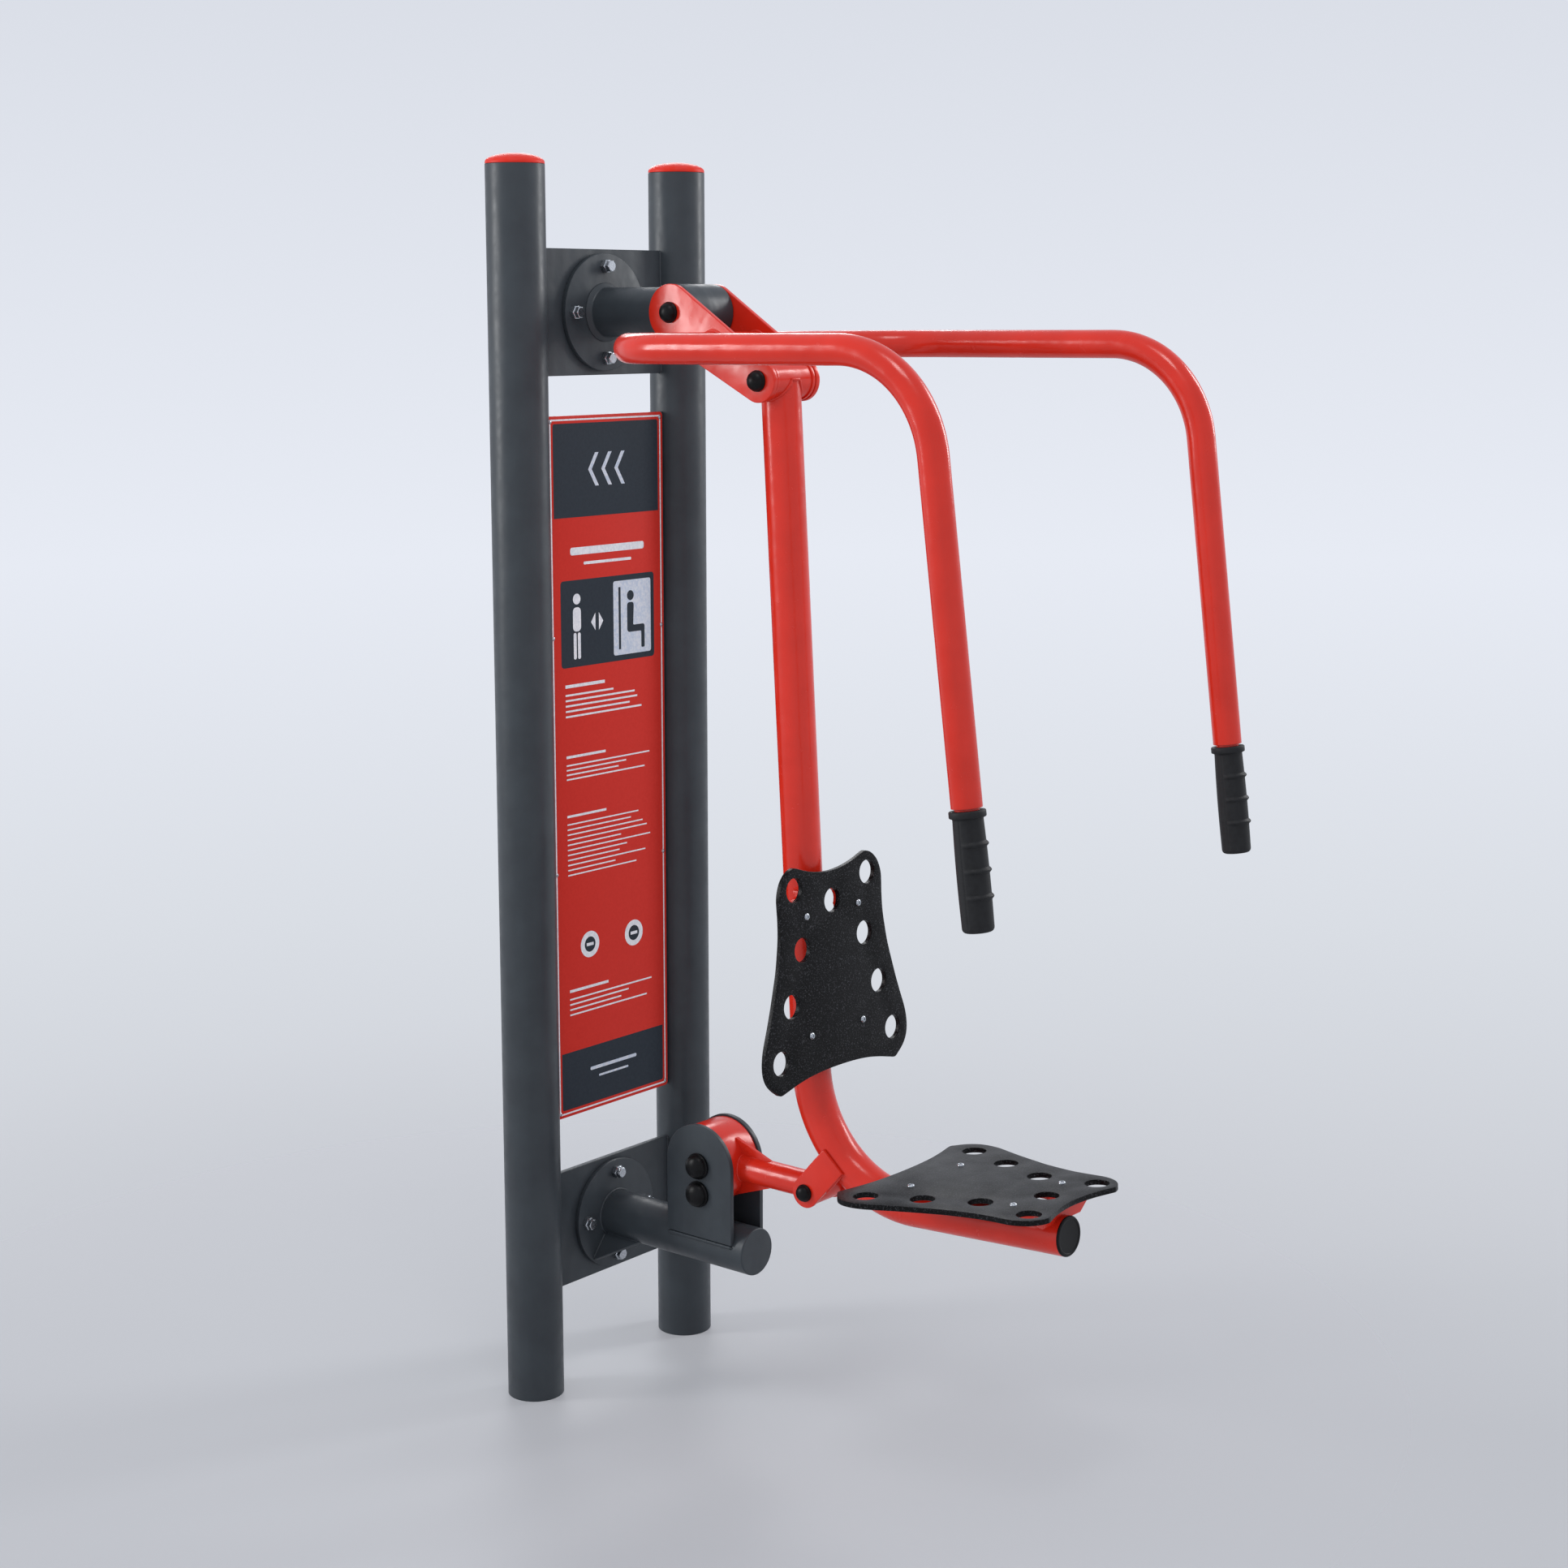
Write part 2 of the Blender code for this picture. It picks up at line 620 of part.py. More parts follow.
path = [(mirror(p), -mirror(t)) for p, t in reversed(right)] + right
bar = sweep(path, list(reversed(ro)) + ro, list(reversed(ri)) + ri, SEG_BAR, (1.0, 0.0, 0.0))
finish("handlebar", bar, "red", upper_axis)


def rib_height(h, a):
    """Height of the finger ribs at h along the grip and angle a from its front."""
    face = max(0.0, math.cos(a))
    for j in range(RIB_COUNT):
        if abs(h - RIB_FIRST - RIB_PITCH * j) < (RIB_TOP_HALF + RIB_HALF) / 2.0:
            return RIB_H * min(1.0, face * RIB_RISE) * (RIB_SIDE_SHARE + (1.0 - RIB_SIDE_SHARE) * face)
    return 0.0


def grip(name, side):
    """Closed rubber sleeve: collar, body with finger ribs on its front half, and a bore for the neck."""
    lip = GRIP_COLLAR_R - GRIP_COLLAR_BEVEL
    rows = [(lip, 0.0), (GRIP_COLLAR_R, GRIP_COLLAR_BEVEL)]
    rows += [(GRIP_COLLAR_R, GRIP_COLLAR_H - GRIP_COLLAR_BEVEL), (lip, GRIP_COLLAR_H)]
    heights = [GRIP_COLLAR_H]
    for k in range(RIB_COUNT):
        c = RIB_FIRST + RIB_PITCH * k
        heights += [c - RIB_HALF, c - RIB_TOP_HALF, c + RIB_TOP_HALF, c + RIB_HALF]
    heights += [GRIP_LEN - GRIP_END_T]
    for h in heights:
        taper = (GRIP_R_END - GRIP_R_TOP) * h / GRIP_LEN
        rows.append((GRIP_R_TOP + taper + GRIP_BULGE * math.sin(math.pi * h / GRIP_LEN), h))
    last = rows[-1][0]
    rows += [(last - GRIP_END_T * a, GRIP_LEN - GRIP_END_T * b) for a, b in GRIP_END_SHARES]
    rows.append((0.0, GRIP_LEN))
    inner = NECK_R + GAP
    depth = NECK_LEN - GRIP_START + GAP
    rows = [(0.0, depth), (inner, depth), (inner, 0.0)] + rows
    bm = bmesh.new()
    front = Vector((0.0, -1.0, 0.0))
    front = (front - drop * front.dot(drop)).normalized()
    across = Vector((1.0, 0.0, 0.0))
    at = Vector((side * end.x, end.y, end.z)) + drop * GRIP_START
    rings = []
    for r, h in rows:
        if r == 0.0:
            rings.append([bm.verts.new(at + drop * h)])
            continue
        ring = []
        for k in range(SEG_BAR):
            a = 2.0 * math.pi * k / SEG_BAR
            out = r + (rib_height(h, a) if r > inner + GAP else 0.0)
            ring.append(bm.verts.new(at + drop * h + (front * math.cos(a) + across * math.sin(a)) * out))
        rings.append(ring)
    join_rows(bm, list(zip(rings[:-1], rings[1:])), SEG_BAR)
    return finish(name, bm, "black", upper_axis, sharp=55.0)


grip("grip_left", -1.0)
grip("grip_right", 1.0)

# Seat pivot hub with its end rings, bored for two bearings.
hub_half = LINK_OUT - LINK_T - HUB_CLEAR
hub_in = HUB_R - HUB_WALL
ring_at = hub_half - HUB_RING_W
prof = [
    (hub_in, -hub_half), (HUB_RING_R, -hub_half), (HUB_RING_R, -ring_at), (HUB_R, -ring_at),
    (HUB_R, ring_at), (HUB_RING_R, ring_at), (HUB_RING_R, hub_half), (hub_in, hub_half),
]
finish("seat_hub", lathe(prof, SEG_TUBE, "X", loop=True), "red", seat_axis)
for side, tag in SIDES:
    x0, x1 = span(side, hub_half - BEARING_W, hub_half - GAP)
    finish("seat_bearing_" + tag, ring_x(AXLE_R + FIT, hub_in - GAP, x0, x1, 0.0, 0.0), "black", seat_axis)

# Seat tube: down the upright, round the bend and forward under the seat.
corners = [Vector((0.0, 0.0, -HUB_R / 2.0)), Vector((0.0, 0.0, -SEAT_DOWN)), Vector((0.0, -SEAT_RUN, -SEAT_DOWN))]
path = route(corners, [SEAT_BEND], 10)
count = len(path)
tube = sweep(path, [SEAT_R] * count, [SEAT_R - SEAT_WALL] * count, SEG_TUBE, (1.0, 0.0, 0.0))
tube = finish("seat_tube", tube, "red", seat_axis)
over = SEAT_R + CUT_OVER
cut(tube, tool("hub_saddle", rod_x(HUB_R + GAP, -over, over, 0.0, 0.0, SEG_TUBE * 2), seat_axis))
plug_r = SEAT_R - SEAT_WALL - GAP
prof = [
    (0.0, SEAT_RUN - PLUG_DEPTH), (plug_r, SEAT_RUN - PLUG_DEPTH), (plug_r, SEAT_RUN + GAP),
    (SEAT_R, SEAT_RUN + GAP), (SEAT_R, SEAT_RUN + PLUG_T - PLUG_BEVEL),
    (SEAT_R - PLUG_BEVEL, SEAT_RUN + PLUG_T), (0.0, SEAT_RUN + PLUG_T),
]
finish("seat_tube_plug", lathe(prof, SEG_TUBE, "Y", (0.0, 0.0, -SEAT_DOWN)), "black", seat_axis)

# Ears on the outside of the bend, and the pivot bolt between them.
slope = Vector((0.0, -1.0, 1.0)).normalized()
normal = Vector((1.0, 0.0, 0.0))
ear_points = arc(0.0, 0.0, EAR_R, 0.5 * math.pi, 1.5 * math.pi, 16) + [(EAR_LEN, -EAR_R), (EAR_LEN, EAR_R)]
ear_in = SEAT_R + GAP
ear_out = ear_in + EAR_T
ear_frame = basis(slope, normal.cross(slope), normal, (0.0, EYE_Y, EYE_Z))
over = ear_out + CUT_OVER
ear_bore = tool("ear_bore", rod_x(EYE_PIN_R + GAP, -over, over, EYE_Y, EYE_Z), seat_axis)
for side, tag in SIDES:
    x0, x1 = span(side, ear_in, ear_out)
    cut(finish("ear_" + tag, slab(ear_points, x0, x1, ear_frame, PLATE_CHAMFER), "red", seat_axis), ear_bore)
    x = ear_out + GAP
    cap("lower_pin_cap_" + tag, "black", SMALL_CAP_R, CAP_RIM_H, SMALL_CAP_H, x, EYE_Y, EYE_Z, side, seat_axis)
finish("lower_pin", rod_x(EYE_PIN_R, -ear_out, ear_out, EYE_Y, EYE_Z), "zinc", seat_axis)

# Seat and back plates on their brackets, each held by four screws.
half = [(u * PANEL_HALF, s * PANEL_LEN) for u, s in PANEL_OUTLINE_SHARES]
outline = half + [(-u, s) for u, s in reversed(half[1:-1])]
spots = [(u * PANEL_HALF, s * PANEL_LEN, PANEL_HOLE_R) for u, s in PANEL_HOLE_SHARES]
spots += [(SCREW_X, s, SCREW_HOLE_R) for s in (SCREW_S1, SCREW_S2)]
holes = [(sx * u, s, r) for u, s, r in spots for sx in (-1.0, 1.0)] + [(0.0, PANEL_MID_HOLE, PANEL_HOLE_R)]
saddles = sweep(path, [SEAT_R + GAP] * count, [SADDLE_BORE] * count, SEG_TUBE, (1.0, 0.0, 0.0))
saddles = tool("bracket_saddles", saddles, seat_axis)
half_bend = BRACKET_HALF - (BRACKET_HALF - BRACKET_LOW_HALF) * BRACKET_T / BRACKET_DROP
for tag, frame in (
    ("backrest", basis((1, 0, 0), (0, 0, -1), (0, 1, 0), (0.0, -PANEL_OFF, -BACK_S0))),
    ("seat", basis((1, 0, 0), (0, 1, 0), (0, 0, 1), (0.0, -SEAT_S0, -SEAT_DOWN + PANEL_OFF))),
):
    inward = 1.0 if tag == "backrest" else -1.0
    t0, t1 = span(inward, 0.0, PANEL_T)
    plate = finish(tag + "_plate", slab(outline, t0, t1, frame, PANEL_CHAMFER), "black", seat_axis)
    over = PANEL_T + CUT_OVER
    drills = []
    for u, s, r in holes:
        h = rod(r, -over, over, 18 if r > SCREW_HOLE_R else 8, "Z")
        bmesh.ops.transform(h, matrix=frame @ Matrix.Translation((u, s, 0.0)), verts=h.verts)
        drills.append(h)
    drill = tool(tag + "_holes", gather(drills), seat_axis)
    cut(plate, drill)
    for k, s in enumerate((SCREW_S1, SCREW_S2)):
        # Folded bracket: a notched flange under the plate, and a web with the tube's saddle at its outer end.
        out = -1.0 if k == 0 else 1.0
        notch = arc(0.0, -BRACKET_NOTCH_IN, BRACKET_NOTCH_R, 0.0, math.pi, 10)
        foot = [(-BRACKET_HALF, BRACKET_OUTER), (BRACKET_HALF, BRACKET_OUTER), (BRACKET_HALF, -BRACKET_INNER)]
        foot += [(BRACKET_NOTCH_R, -BRACKET_INNER)] + notch + [(-BRACKET_NOTCH_R, -BRACKET_INNER)]
        foot += [(-BRACKET_HALF, -BRACKET_INNER)]
        base = PANEL_T + GAP
        t0, t1 = span(inward, base, base + BRACKET_T)
        place = frame @ Matrix.Translation((0.0, s, 0.0))
        name = "%s_bracket_%d" % (tag, k + 1)
        bracket = finish(name, slab([(x, out * y) for x, y in foot], t0, t1, place), "red", seat_axis)
        web = [(-half_bend, BRACKET_T), (half_bend, BRACKET_T)]
        web += [(BRACKET_LOW_HALF, BRACKET_DROP), (-BRACKET_LOW_HALF, BRACKET_DROP)]
        web_frame = basis((1, 0, 0), (0, 0, inward), (0, 1, 0), (0.0, 0.0, base * inward))
        y0, y1 = span(out, BRACKET_OUTER - BRACKET_T, BRACKET_OUTER)
        cut(bracket, tool(name + "_web", slab(web, y0, y1, place @ web_frame), seat_axis), "UNION")
        cut(bracket, saddles)
        cut(bracket, drill)

# Clevis plates on the lower support tube, the fixed core between them, and its two bolts.
clevis_in = CLEVIS_OUT - CLEVIS_T
low = LOWER_Z + CLEVIS_FOOT - H_Z
clevis_points = [(-CLEVIS_R, low), (CLEVIS_R, low)] + arc(0.0, 0.0, CLEVIS_R, 0.0, math.pi, 24)
clevis_frame = basis((0, 1, 0), (0, 0, 1), (1, 0, 0), (0.0, H_Y, H_Z))
seat_of_tube = rod(ARM_TUBE_R + GAP, 0.0, CUT_OVER - LOWER_END_Y, SEG_POST, "Y", (0.0, 0.0, LOWER_Z))
seat_of_tube = tool("tube_saddle", seat_of_tube)
studs = (0.0, -STUD_DROP)
over = CLEVIS_OUT + CUT_OVER
stud_holes = tool("stud_holes", gather([rod_x(STUD_R + GAP, -over, over, H_Y, H_Z + dz) for dz in studs]))
for side, tag in SIDES:
    x0, x1 = span(side, clevis_in, CLEVIS_OUT)
    plate = finish("clevis_plate_" + tag, slab(clevis_points, x0, x1, clevis_frame, PLATE_CHAMFER), "grey")
    cut(plate, seat_of_tube)
    cut(plate, stud_holes)
    for k, dz in enumerate(studs):
        name = "core_cap_%s_%d" % (tag, k + 1)
        cap(name, "black", BIG_CAP_R, BIG_RIM_H, BIG_CAP_H, CLEVIS_OUT + GAP, H_Y, H_Z + dz, side)
core_r = SHELL_R - SHELL_WALL - CORE_CLEAR
core = finish("lower_core", rod_x(core_r, -clevis_in + GAP, clevis_in - GAP, H_Y, H_Z, SEG_POST), "grey")
cut(core, stud_holes)
for k, dz in enumerate(studs):
    finish("core_bolt_%d" % (k + 1), rod_x(STUD_R, -CLEVIS_OUT, CLEVIS_OUT, H_Y, H_Z + dz), "zinc")

# Lower link: hub shell, hollow arm, two fins and the eye, welded together.
shell_half = clevis_in - SHELL_SIDE
shell_in = SHELL_R - SHELL_WALL
eye_wy = P1_Y + EYE_Y * math.cos(SEAT_TILT) + EYE_Z * math.sin(SEAT_TILT) - H_Y
eye_wz = P1_Z - EYE_Y * math.sin(SEAT_TILT) + EYE_Z * math.cos(SEAT_TILT) - H_Z
reach = math.hypot(eye_wy, eye_wz)
along = Vector((0.0, eye_wy, eye_wz)).normalized()
rise = along.cross(normal)
if rise.z < 0.0:
    rise = -rise
shell = ring_x(shell_in, SHELL_R, -shell_half, shell_half, 0.0, 0.0, SEG_POST)
link = finish("lower_link", shell, "red", lower_axis)
arm_frame = basis(normal, along.cross(normal), along)
arm = rod(LOW_ARM_R, SHELL_R - WELD_IN, reach, SEG_BAR, "Z")
bmesh.ops.transform(arm, matrix=arm_frame, verts=arm.verts)
cut(link, tool("arm_solid", arm, lower_axis), "UNION")
fin_out = SHELL_R + FIN_REACH
fin_root = LOW_ARM_R - WELD_IN
fin_cos = math.cos(FIN_ANGLE)
fin_sin = math.sin(FIN_ANGLE)
sunk = SHELL_R - WELD_IN
fins = []
for s in (-1.0, 1.0):
    tri = [
        (sunk * fin_cos, s * sunk * fin_sin), (SHELL_R * fin_cos + FIN_FOOT, s * SHELL_R * fin_sin),
        (fin_out, s * (LOW_ARM_R + FIN_NOSE)), (fin_out + FIN_NOSE_LEN, s * fin_root), (sunk, s * fin_root),
    ]
    if s > 0.0:
        tri = list(reversed(tri))
    fins.append(slab(tri, -FIN_T / 2.0, FIN_T / 2.0, basis(along, rise, along.cross(rise))))
cut(link, tool("fins", gather(fins), lower_axis), "UNION")
eye_half = ear_in - EYE_SIDE
eye = rod_x(EYE_R, -eye_half, eye_half, eye_wy, eye_wz, SEG_BAR)
cut(link, tool("eye_solid", eye, lower_axis), "UNION")
arm_bore = rod(LOW_ARM_R - LOW_ARM_WALL, shell_in - WELD_IN, reach - EYE_R, SEG_BAR, "Z")
bmesh.ops.transform(arm_bore, matrix=arm_frame, verts=arm_bore.verts)
over = eye_half + CUT_OVER
eye_bore = rod_x(EYE_PIN_R + EYE_SLACK, -over, over, eye_wy, eye_wz, SEG_BAR)
cut(link, tool("lower_link_bores", gather([arm_bore, eye_bore]), lower_axis))

# Sign board between the posts, on two flat bars.
c = SIGN_CORNER
x1 = SIGN_HALF - c
z0 = SIGN_BOTTOM + c
z1 = SIGN_TOP - c
board = arc(x1, z0, c, -0.5 * math.pi, 0.0, 4) + arc(x1, z1, c, 0.0, 0.5 * math.pi, 4)
board += arc(-x1, z1, c, 0.5 * math.pi, math.pi, 4) + arc(-x1, z0, c, math.pi, 1.5 * math.pi, 4)
sign_frame = basis((1, 0, 0), (0, 0, 1), (0, -1, 0))
finish("sign_board", slab(board, SIGN_FRONT - SIGN_T, SIGN_FRONT, sign_frame), "sign")
rail_front = SIGN_FRONT - SIGN_T - GAP
for side, tag in SIDES:
    x0, x1 = span(side, cross_half - RAIL_W, cross_half)
    points = box_points(x0, x1, SIGN_BOTTOM, SIGN_TOP)
    finish("sign_rail_" + tag, slab(points, rail_front - RAIL_T, rail_front, sign_frame), "grey")
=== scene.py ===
import math

import bpy
import numpy as np
from mathutils.geometry import delaunay_2d_cdt
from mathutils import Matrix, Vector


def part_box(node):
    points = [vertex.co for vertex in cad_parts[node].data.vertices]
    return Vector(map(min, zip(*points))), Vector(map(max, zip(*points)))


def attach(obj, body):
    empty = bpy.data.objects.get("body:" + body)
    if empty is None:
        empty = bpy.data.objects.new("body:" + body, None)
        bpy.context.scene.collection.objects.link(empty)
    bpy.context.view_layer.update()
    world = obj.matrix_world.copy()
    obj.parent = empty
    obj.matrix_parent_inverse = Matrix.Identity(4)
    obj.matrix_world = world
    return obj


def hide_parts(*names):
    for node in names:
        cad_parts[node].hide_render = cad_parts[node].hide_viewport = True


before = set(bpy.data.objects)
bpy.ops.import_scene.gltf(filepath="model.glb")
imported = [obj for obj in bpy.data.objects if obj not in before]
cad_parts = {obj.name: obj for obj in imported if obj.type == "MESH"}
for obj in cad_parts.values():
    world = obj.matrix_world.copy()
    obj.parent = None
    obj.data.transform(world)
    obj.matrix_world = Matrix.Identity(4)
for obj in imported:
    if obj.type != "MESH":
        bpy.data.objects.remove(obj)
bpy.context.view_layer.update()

bl_info = {
    "name": "Outdoor chest press",
    "version": (1, 0, 0),
    "blender": (4, 5, 0),
    "location": "3D View > Sidebar > Chest Press",
    "description": "Finished surfaces of an outdoor seated chest press, over its packed frame",
    "category": "Object",
}


class Extent:
    """Lowest and highest corner, centre and half sizes of a node of the frame at rest."""

    def __init__(self, node):
        self.lo, self.hi = np.array(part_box(node))
        self.mid = (self.lo + self.hi) / 2.0
        self.half = (self.hi - self.lo) / 2.0


X, Y, Z = np.eye(3)
# The two directions across each axis, and the way that heights are counted along it.
AXES = {"X": (Y, Z, X), "Y": (X, Z, -Y), "-Y": (X, Z, Y), "Z": (X, Y, Z)}
SIDES = ((-1.0, "left"), (1.0, "right"))
FULL = 2.0 * math.pi
QUARTER = math.pi / 2.0
# A corner whose half angle is past this counts as straight.
STRAIGHT = 1.56

# Places come from the frame's nodes. Sizes are in metres.
GAP = 0.0003

# Posts and caps.
POST = Extent("post_left")
POST_X = abs(POST.mid[0])
POST_R = POST.half[0]
POST_BORE = POST_R - 0.0036
POST_RIM = 0.0007
CAP_R = POST_R - 0.0002
CAP_EDGE = 0.0004
CAP_LIP = 0.0022

# Cross plates, flanges, bolts and support tubes.
CROSS_FACE = 0.0043
CROSS_SEAM_X = POST_X - POST_R - 0.0002
CROSS_SEAM_Y = 0.0042
CROSS_SEAM_HALF = 0.0955
UPPER_Z = Extent("upper_cross_plate").mid[2]
LOWER_Z = Extent("lower_cross_plate").mid[2]
FLANGE_R = 0.0900
FLANGE_FACE = 0.0123
FLANGE_RIM = 0.0010
BOLT_RING = 0.0705
BOLT_HEAD_R = 0.0094
BOLT_HEAD_H = 0.0070
NUT_R = 0.0110
NUT_H = 0.0080
SHANK_R = 0.0052
SHANK_OUT = 0.0112
SHANK_EDGE = 0.0008
TUBE_R = 0.0380
TUBE_FOOT = 0.0120
TUBE_RIM = 0.0022
# Fillet weld of the upper tube on its flange: share of its width, and height.
FILLET_WIDTH = 0.0085
FILLET = [(1.0, 0.0120), (0.86, 0.0139), (0.45, 0.0162), (0.12, 0.0180), (0.0, 0.0196)]
FILLET_SOFT = [0.0, 0.0012, 0.002, 0.004, 0.004, 0.002, 0.0, 0.0]
GUSSET = [(0.034, 0.009), (0.087, 0.009), (0.087, 0.0153), (0.0389, 0.0873), (0.034, 0.0873)]
GUSSET_SOFT = [0.0, 0.0, 0.0015, 0.0015, 0.0]
GUSSET_ANGLE = math.radians(51.0)
GUSSET_FOOT = (0.0400, 0.0855)
GUSSET_ROOT = (0.0160, 0.0840)
RIB_HALF = 0.0030
RIB_RIM = 0.0007

# Upper bearing housing and link.
HOUSING_Y = Extent("upper_bearing_left").mid[1]
HOUSING_AT = np.array([0.0, HOUSING_Y, UPPER_Z])
HOUSING_R = 0.0424
HOUSING_BORE = 0.0349
HOUSING_HALF = 0.0446
SLEEVE_RIM = 0.0012
PIVOT = Extent("seat_axle").mid
LINK_RUN = PIVOT - HOUSING_AT
LINK_IN = Extent("link_plate_right").lo[0]
LINK_OUT = Extent("link_plate_right").hi[0]
LINK_R = (0.0424, 0.0320)
LINK_RIM = 0.0012
AXLE_CAP = (0.0158, 0.0040, 0.0150)

# Handlebar and grips.
BAR_R = 0.0210
BAR_X = 0.3305
BAR_CORNER = np.array([BAR_X, -0.8708, 1.6782])
BAR_END = np.array([BAR_X, -0.9468, 1.0965])
BAR_BENDS = [0.0, 0.150, 0.155, 0.0]
BAR_RIM = 0.0012
NECK_R = 0.0168
NECK_LEN = 0.1500
GRIP_START = 0.0030
GRIP_LEN = 0.1590
GRIP_R = 0.0200
GRIP_FLARE = 0.0012
GRIP_END = 0.0062
GRIP_END_IN = 0.0050
COLLAR_R = 0.0246
# Collar of the grip: height, and radius less COLLAR_R.
COLLAR = [(0.0, -COLLAR_R), (0.0, -0.0014), (0.0006, -0.0005), (0.0014, 0.0), (0.0080, 0.0),
          (0.0090, -0.0006), (0.0095, -0.0019)]
COLLAR_NECK = (0.0103, 0.0006)
FINGER_FIRST = 0.0440
FINGER_PITCH = 0.0345
FINGER_HALF = 0.0042
GRIP_SEAM = (0.035, 0.0006)

# Seat frame, in its own frame at the seat pivot: -Z down the upright, -Y towards the knees.
SEAT_TILT = math.radians(3.333)
SEAT_R = 0.0299
SEAT_DOWN = 1.2375
SEAT_RUN = 0.4619
SEAT_BEND = 0.1928
HUB_HALF = Extent("seat_hub").half[0]
HUB_BORE = 0.0225
HUB_R = 0.0285
HUB_RING_R = 0.0306
HUB_RING_W = 0.0060
EYE = np.array([0.0, -0.0047, -1.2349])
EAR_R = 0.0240
EAR_LEN = 0.0800
EAR_IN = SEAT_R + GAP
EAR_T = 0.0060
EAR_SEAM = 0.0300
PIN_CAP = (0.0136, 0.0040, 0.0125)
# End plug, round the tube's axis: radius, and height from the tube's mouth.
PLUG = [(0.0, -0.02), (0.024, -0.02), (0.024, GAP), (SEAT_R, GAP), (SEAT_R, 0.0018), (SEAT_R - 0.0015, 0.0035),
        (SEAT_R - 0.0045, 0.0035), (SEAT_R - 0.0055, 0.0027), (0.0, 0.0027)]
PLUG_SOFT = [0.0, 0.0, 0.0, 0.0, 0.0008, 0.0008, 0.0005, 0.0005, 0.0]

# Seat and back plates.
PANEL_OFF = 0.0550
PANEL_T = 0.0080
PANEL_HALF = 0.1736
PANEL_LEN = 0.2537
PANEL_HOLE_R = 0.0185
MID_HOLE = 0.0291
BACK_START = 0.7501
SEAT_START = 0.4570
SCREWS = [(side * 0.0627, s) for s in (0.0441, 0.2264) for side in (-1.0, 1.0)]
# Half outline from the narrow end, and holes, as shares of PANEL_HALF and PANEL_LEN.
OUTLINE_SHARES = [
    (0.000, -0.063), (0.121, -0.068), (0.242, -0.081), (0.357, -0.101), (0.478, -0.128), (0.521, -0.127),
    (0.570, -0.115), (0.619, -0.091), (0.660, -0.059), (0.691, -0.016), (0.709, 0.035), (0.709, 0.095),
    (0.706, 0.154), (0.711, 0.255), (0.733, 0.358), (0.764, 0.464), (0.810, 0.571), (0.861, 0.682),
    (0.916, 0.789), (0.968, 0.883), (0.992, 0.946), (1.000, 1.009), (0.988, 1.064), (0.953, 1.112),
    (0.904, 1.147), (0.853, 1.173), (0.804, 1.191), (0.714, 1.179), (0.576, 1.157), (0.403, 1.137),
    (0.202, 1.126), (0.000, 1.123),
]
HOLE_SHARES = [(0.508, 0.0), (0.786, 1.0), (0.434, 0.365), (0.611, 0.684)]

# Clevis and lower link.
HINGE = Extent("lower_core").mid
HINGE_AT = np.array([0.0, HINGE[1], HINGE[2]])
CLEVIS_R = 0.0668
CLEVIS_FOOT = Extent("clevis_plate_left").lo[2]
CLEVIS_SEAM_X = 0.0372
CLEVIS_SEAM_DROP = 0.0365
CORE_CAP_X = 0.0403
CORE_CAP = (0.0211, 0.0050, 0.0185)
STUD_DROP = 0.0461
SHELL_R = 0.0645
SHELL_BORE = SHELL_R - 0.0090
SHELL_HALF = 0.0314
ARM_R = 0.0213
PIN = Extent("lower_pin").mid
EYE_R = 0.0220
EYE_BORE = 0.0090
EYE_HALF = 0.0292
FIN_ANGLE = math.radians(47.0)
FIN_IN = SHELL_R - 0.0050

# Sign board.
SIGN = Extent("sign_board")
SIGN_HALF, SIGN_LOW, SIGN_HIGH = SIGN.half[0], SIGN.lo[2], SIGN.hi[2]
SIGN_FRONT, SIGN_REAR = -SIGN.lo[1], -SIGN.hi[1]
SIGN_AXES = (X, Z, -Y)
ORIGIN = (0.0, 0.0, 0.0)


# Meshes. A shape is (points, quads, triangles) as arrays.

def unit(v):
    """Vectors divided by their lengths."""
    return v / np.linalg.norm(v, axis=-1, keepdims=True)


def angles(count):
    """Angles evenly round a full turn."""
    return np.linspace(0.0, FULL, count, endpoint=False)


def outward(shape):
    """Turns all faces round when the volume summed over them is negative."""
    v, q, t = shape
    tri = np.concatenate([q[:, [0, 1, 2]], q[:, [0, 2, 3]], t])
    a, b, c = v[tri[:, 0]], v[tri[:, 1]], v[tri[:, 2]]
    if np.einsum("ij,ij->i", a, np.cross(b, c)).sum() < 0.0:
        return v, q[:, ::-1], t[:, ::-1]
    return shape


def skin(grid, loop=False):
    """Closed skin over a grid of points: rows run along it and columns round it, point (i, j) joined to
    (i+1, j) and (i, j+1). A row whose points coincide becomes one vertex; loop joins the last row to the first."""
    rows, cols = grid.shape[:2]
    ids = np.arange(rows * cols).reshape(rows, cols)
    pole = np.ptp(grid, axis=1).max(axis=1) < 1e-9
    ids[pole] = ids[pole, :1]
    used, ids = np.unique(ids, return_inverse=True)
    ids = ids.reshape(rows, cols)
    a = ids if loop else ids[:-1]
    b = np.roll(ids, -1, 0) if loop else ids[1:]
    f = np.stack([a, np.roll(a, -1, 1), np.roll(b, -1, 1), b], -1).reshape(-1, 4)
    top = f[:, 0] == f[:, 1]
    low = f[:, 2] == f[:, 3]
    t = np.concatenate([f[top & ~low][:, [0, 2, 3]], f[low & ~top][:, [0, 1, 2]]])
    return outward((grid.reshape(-1, 3)[used], f[~top & ~low], t))


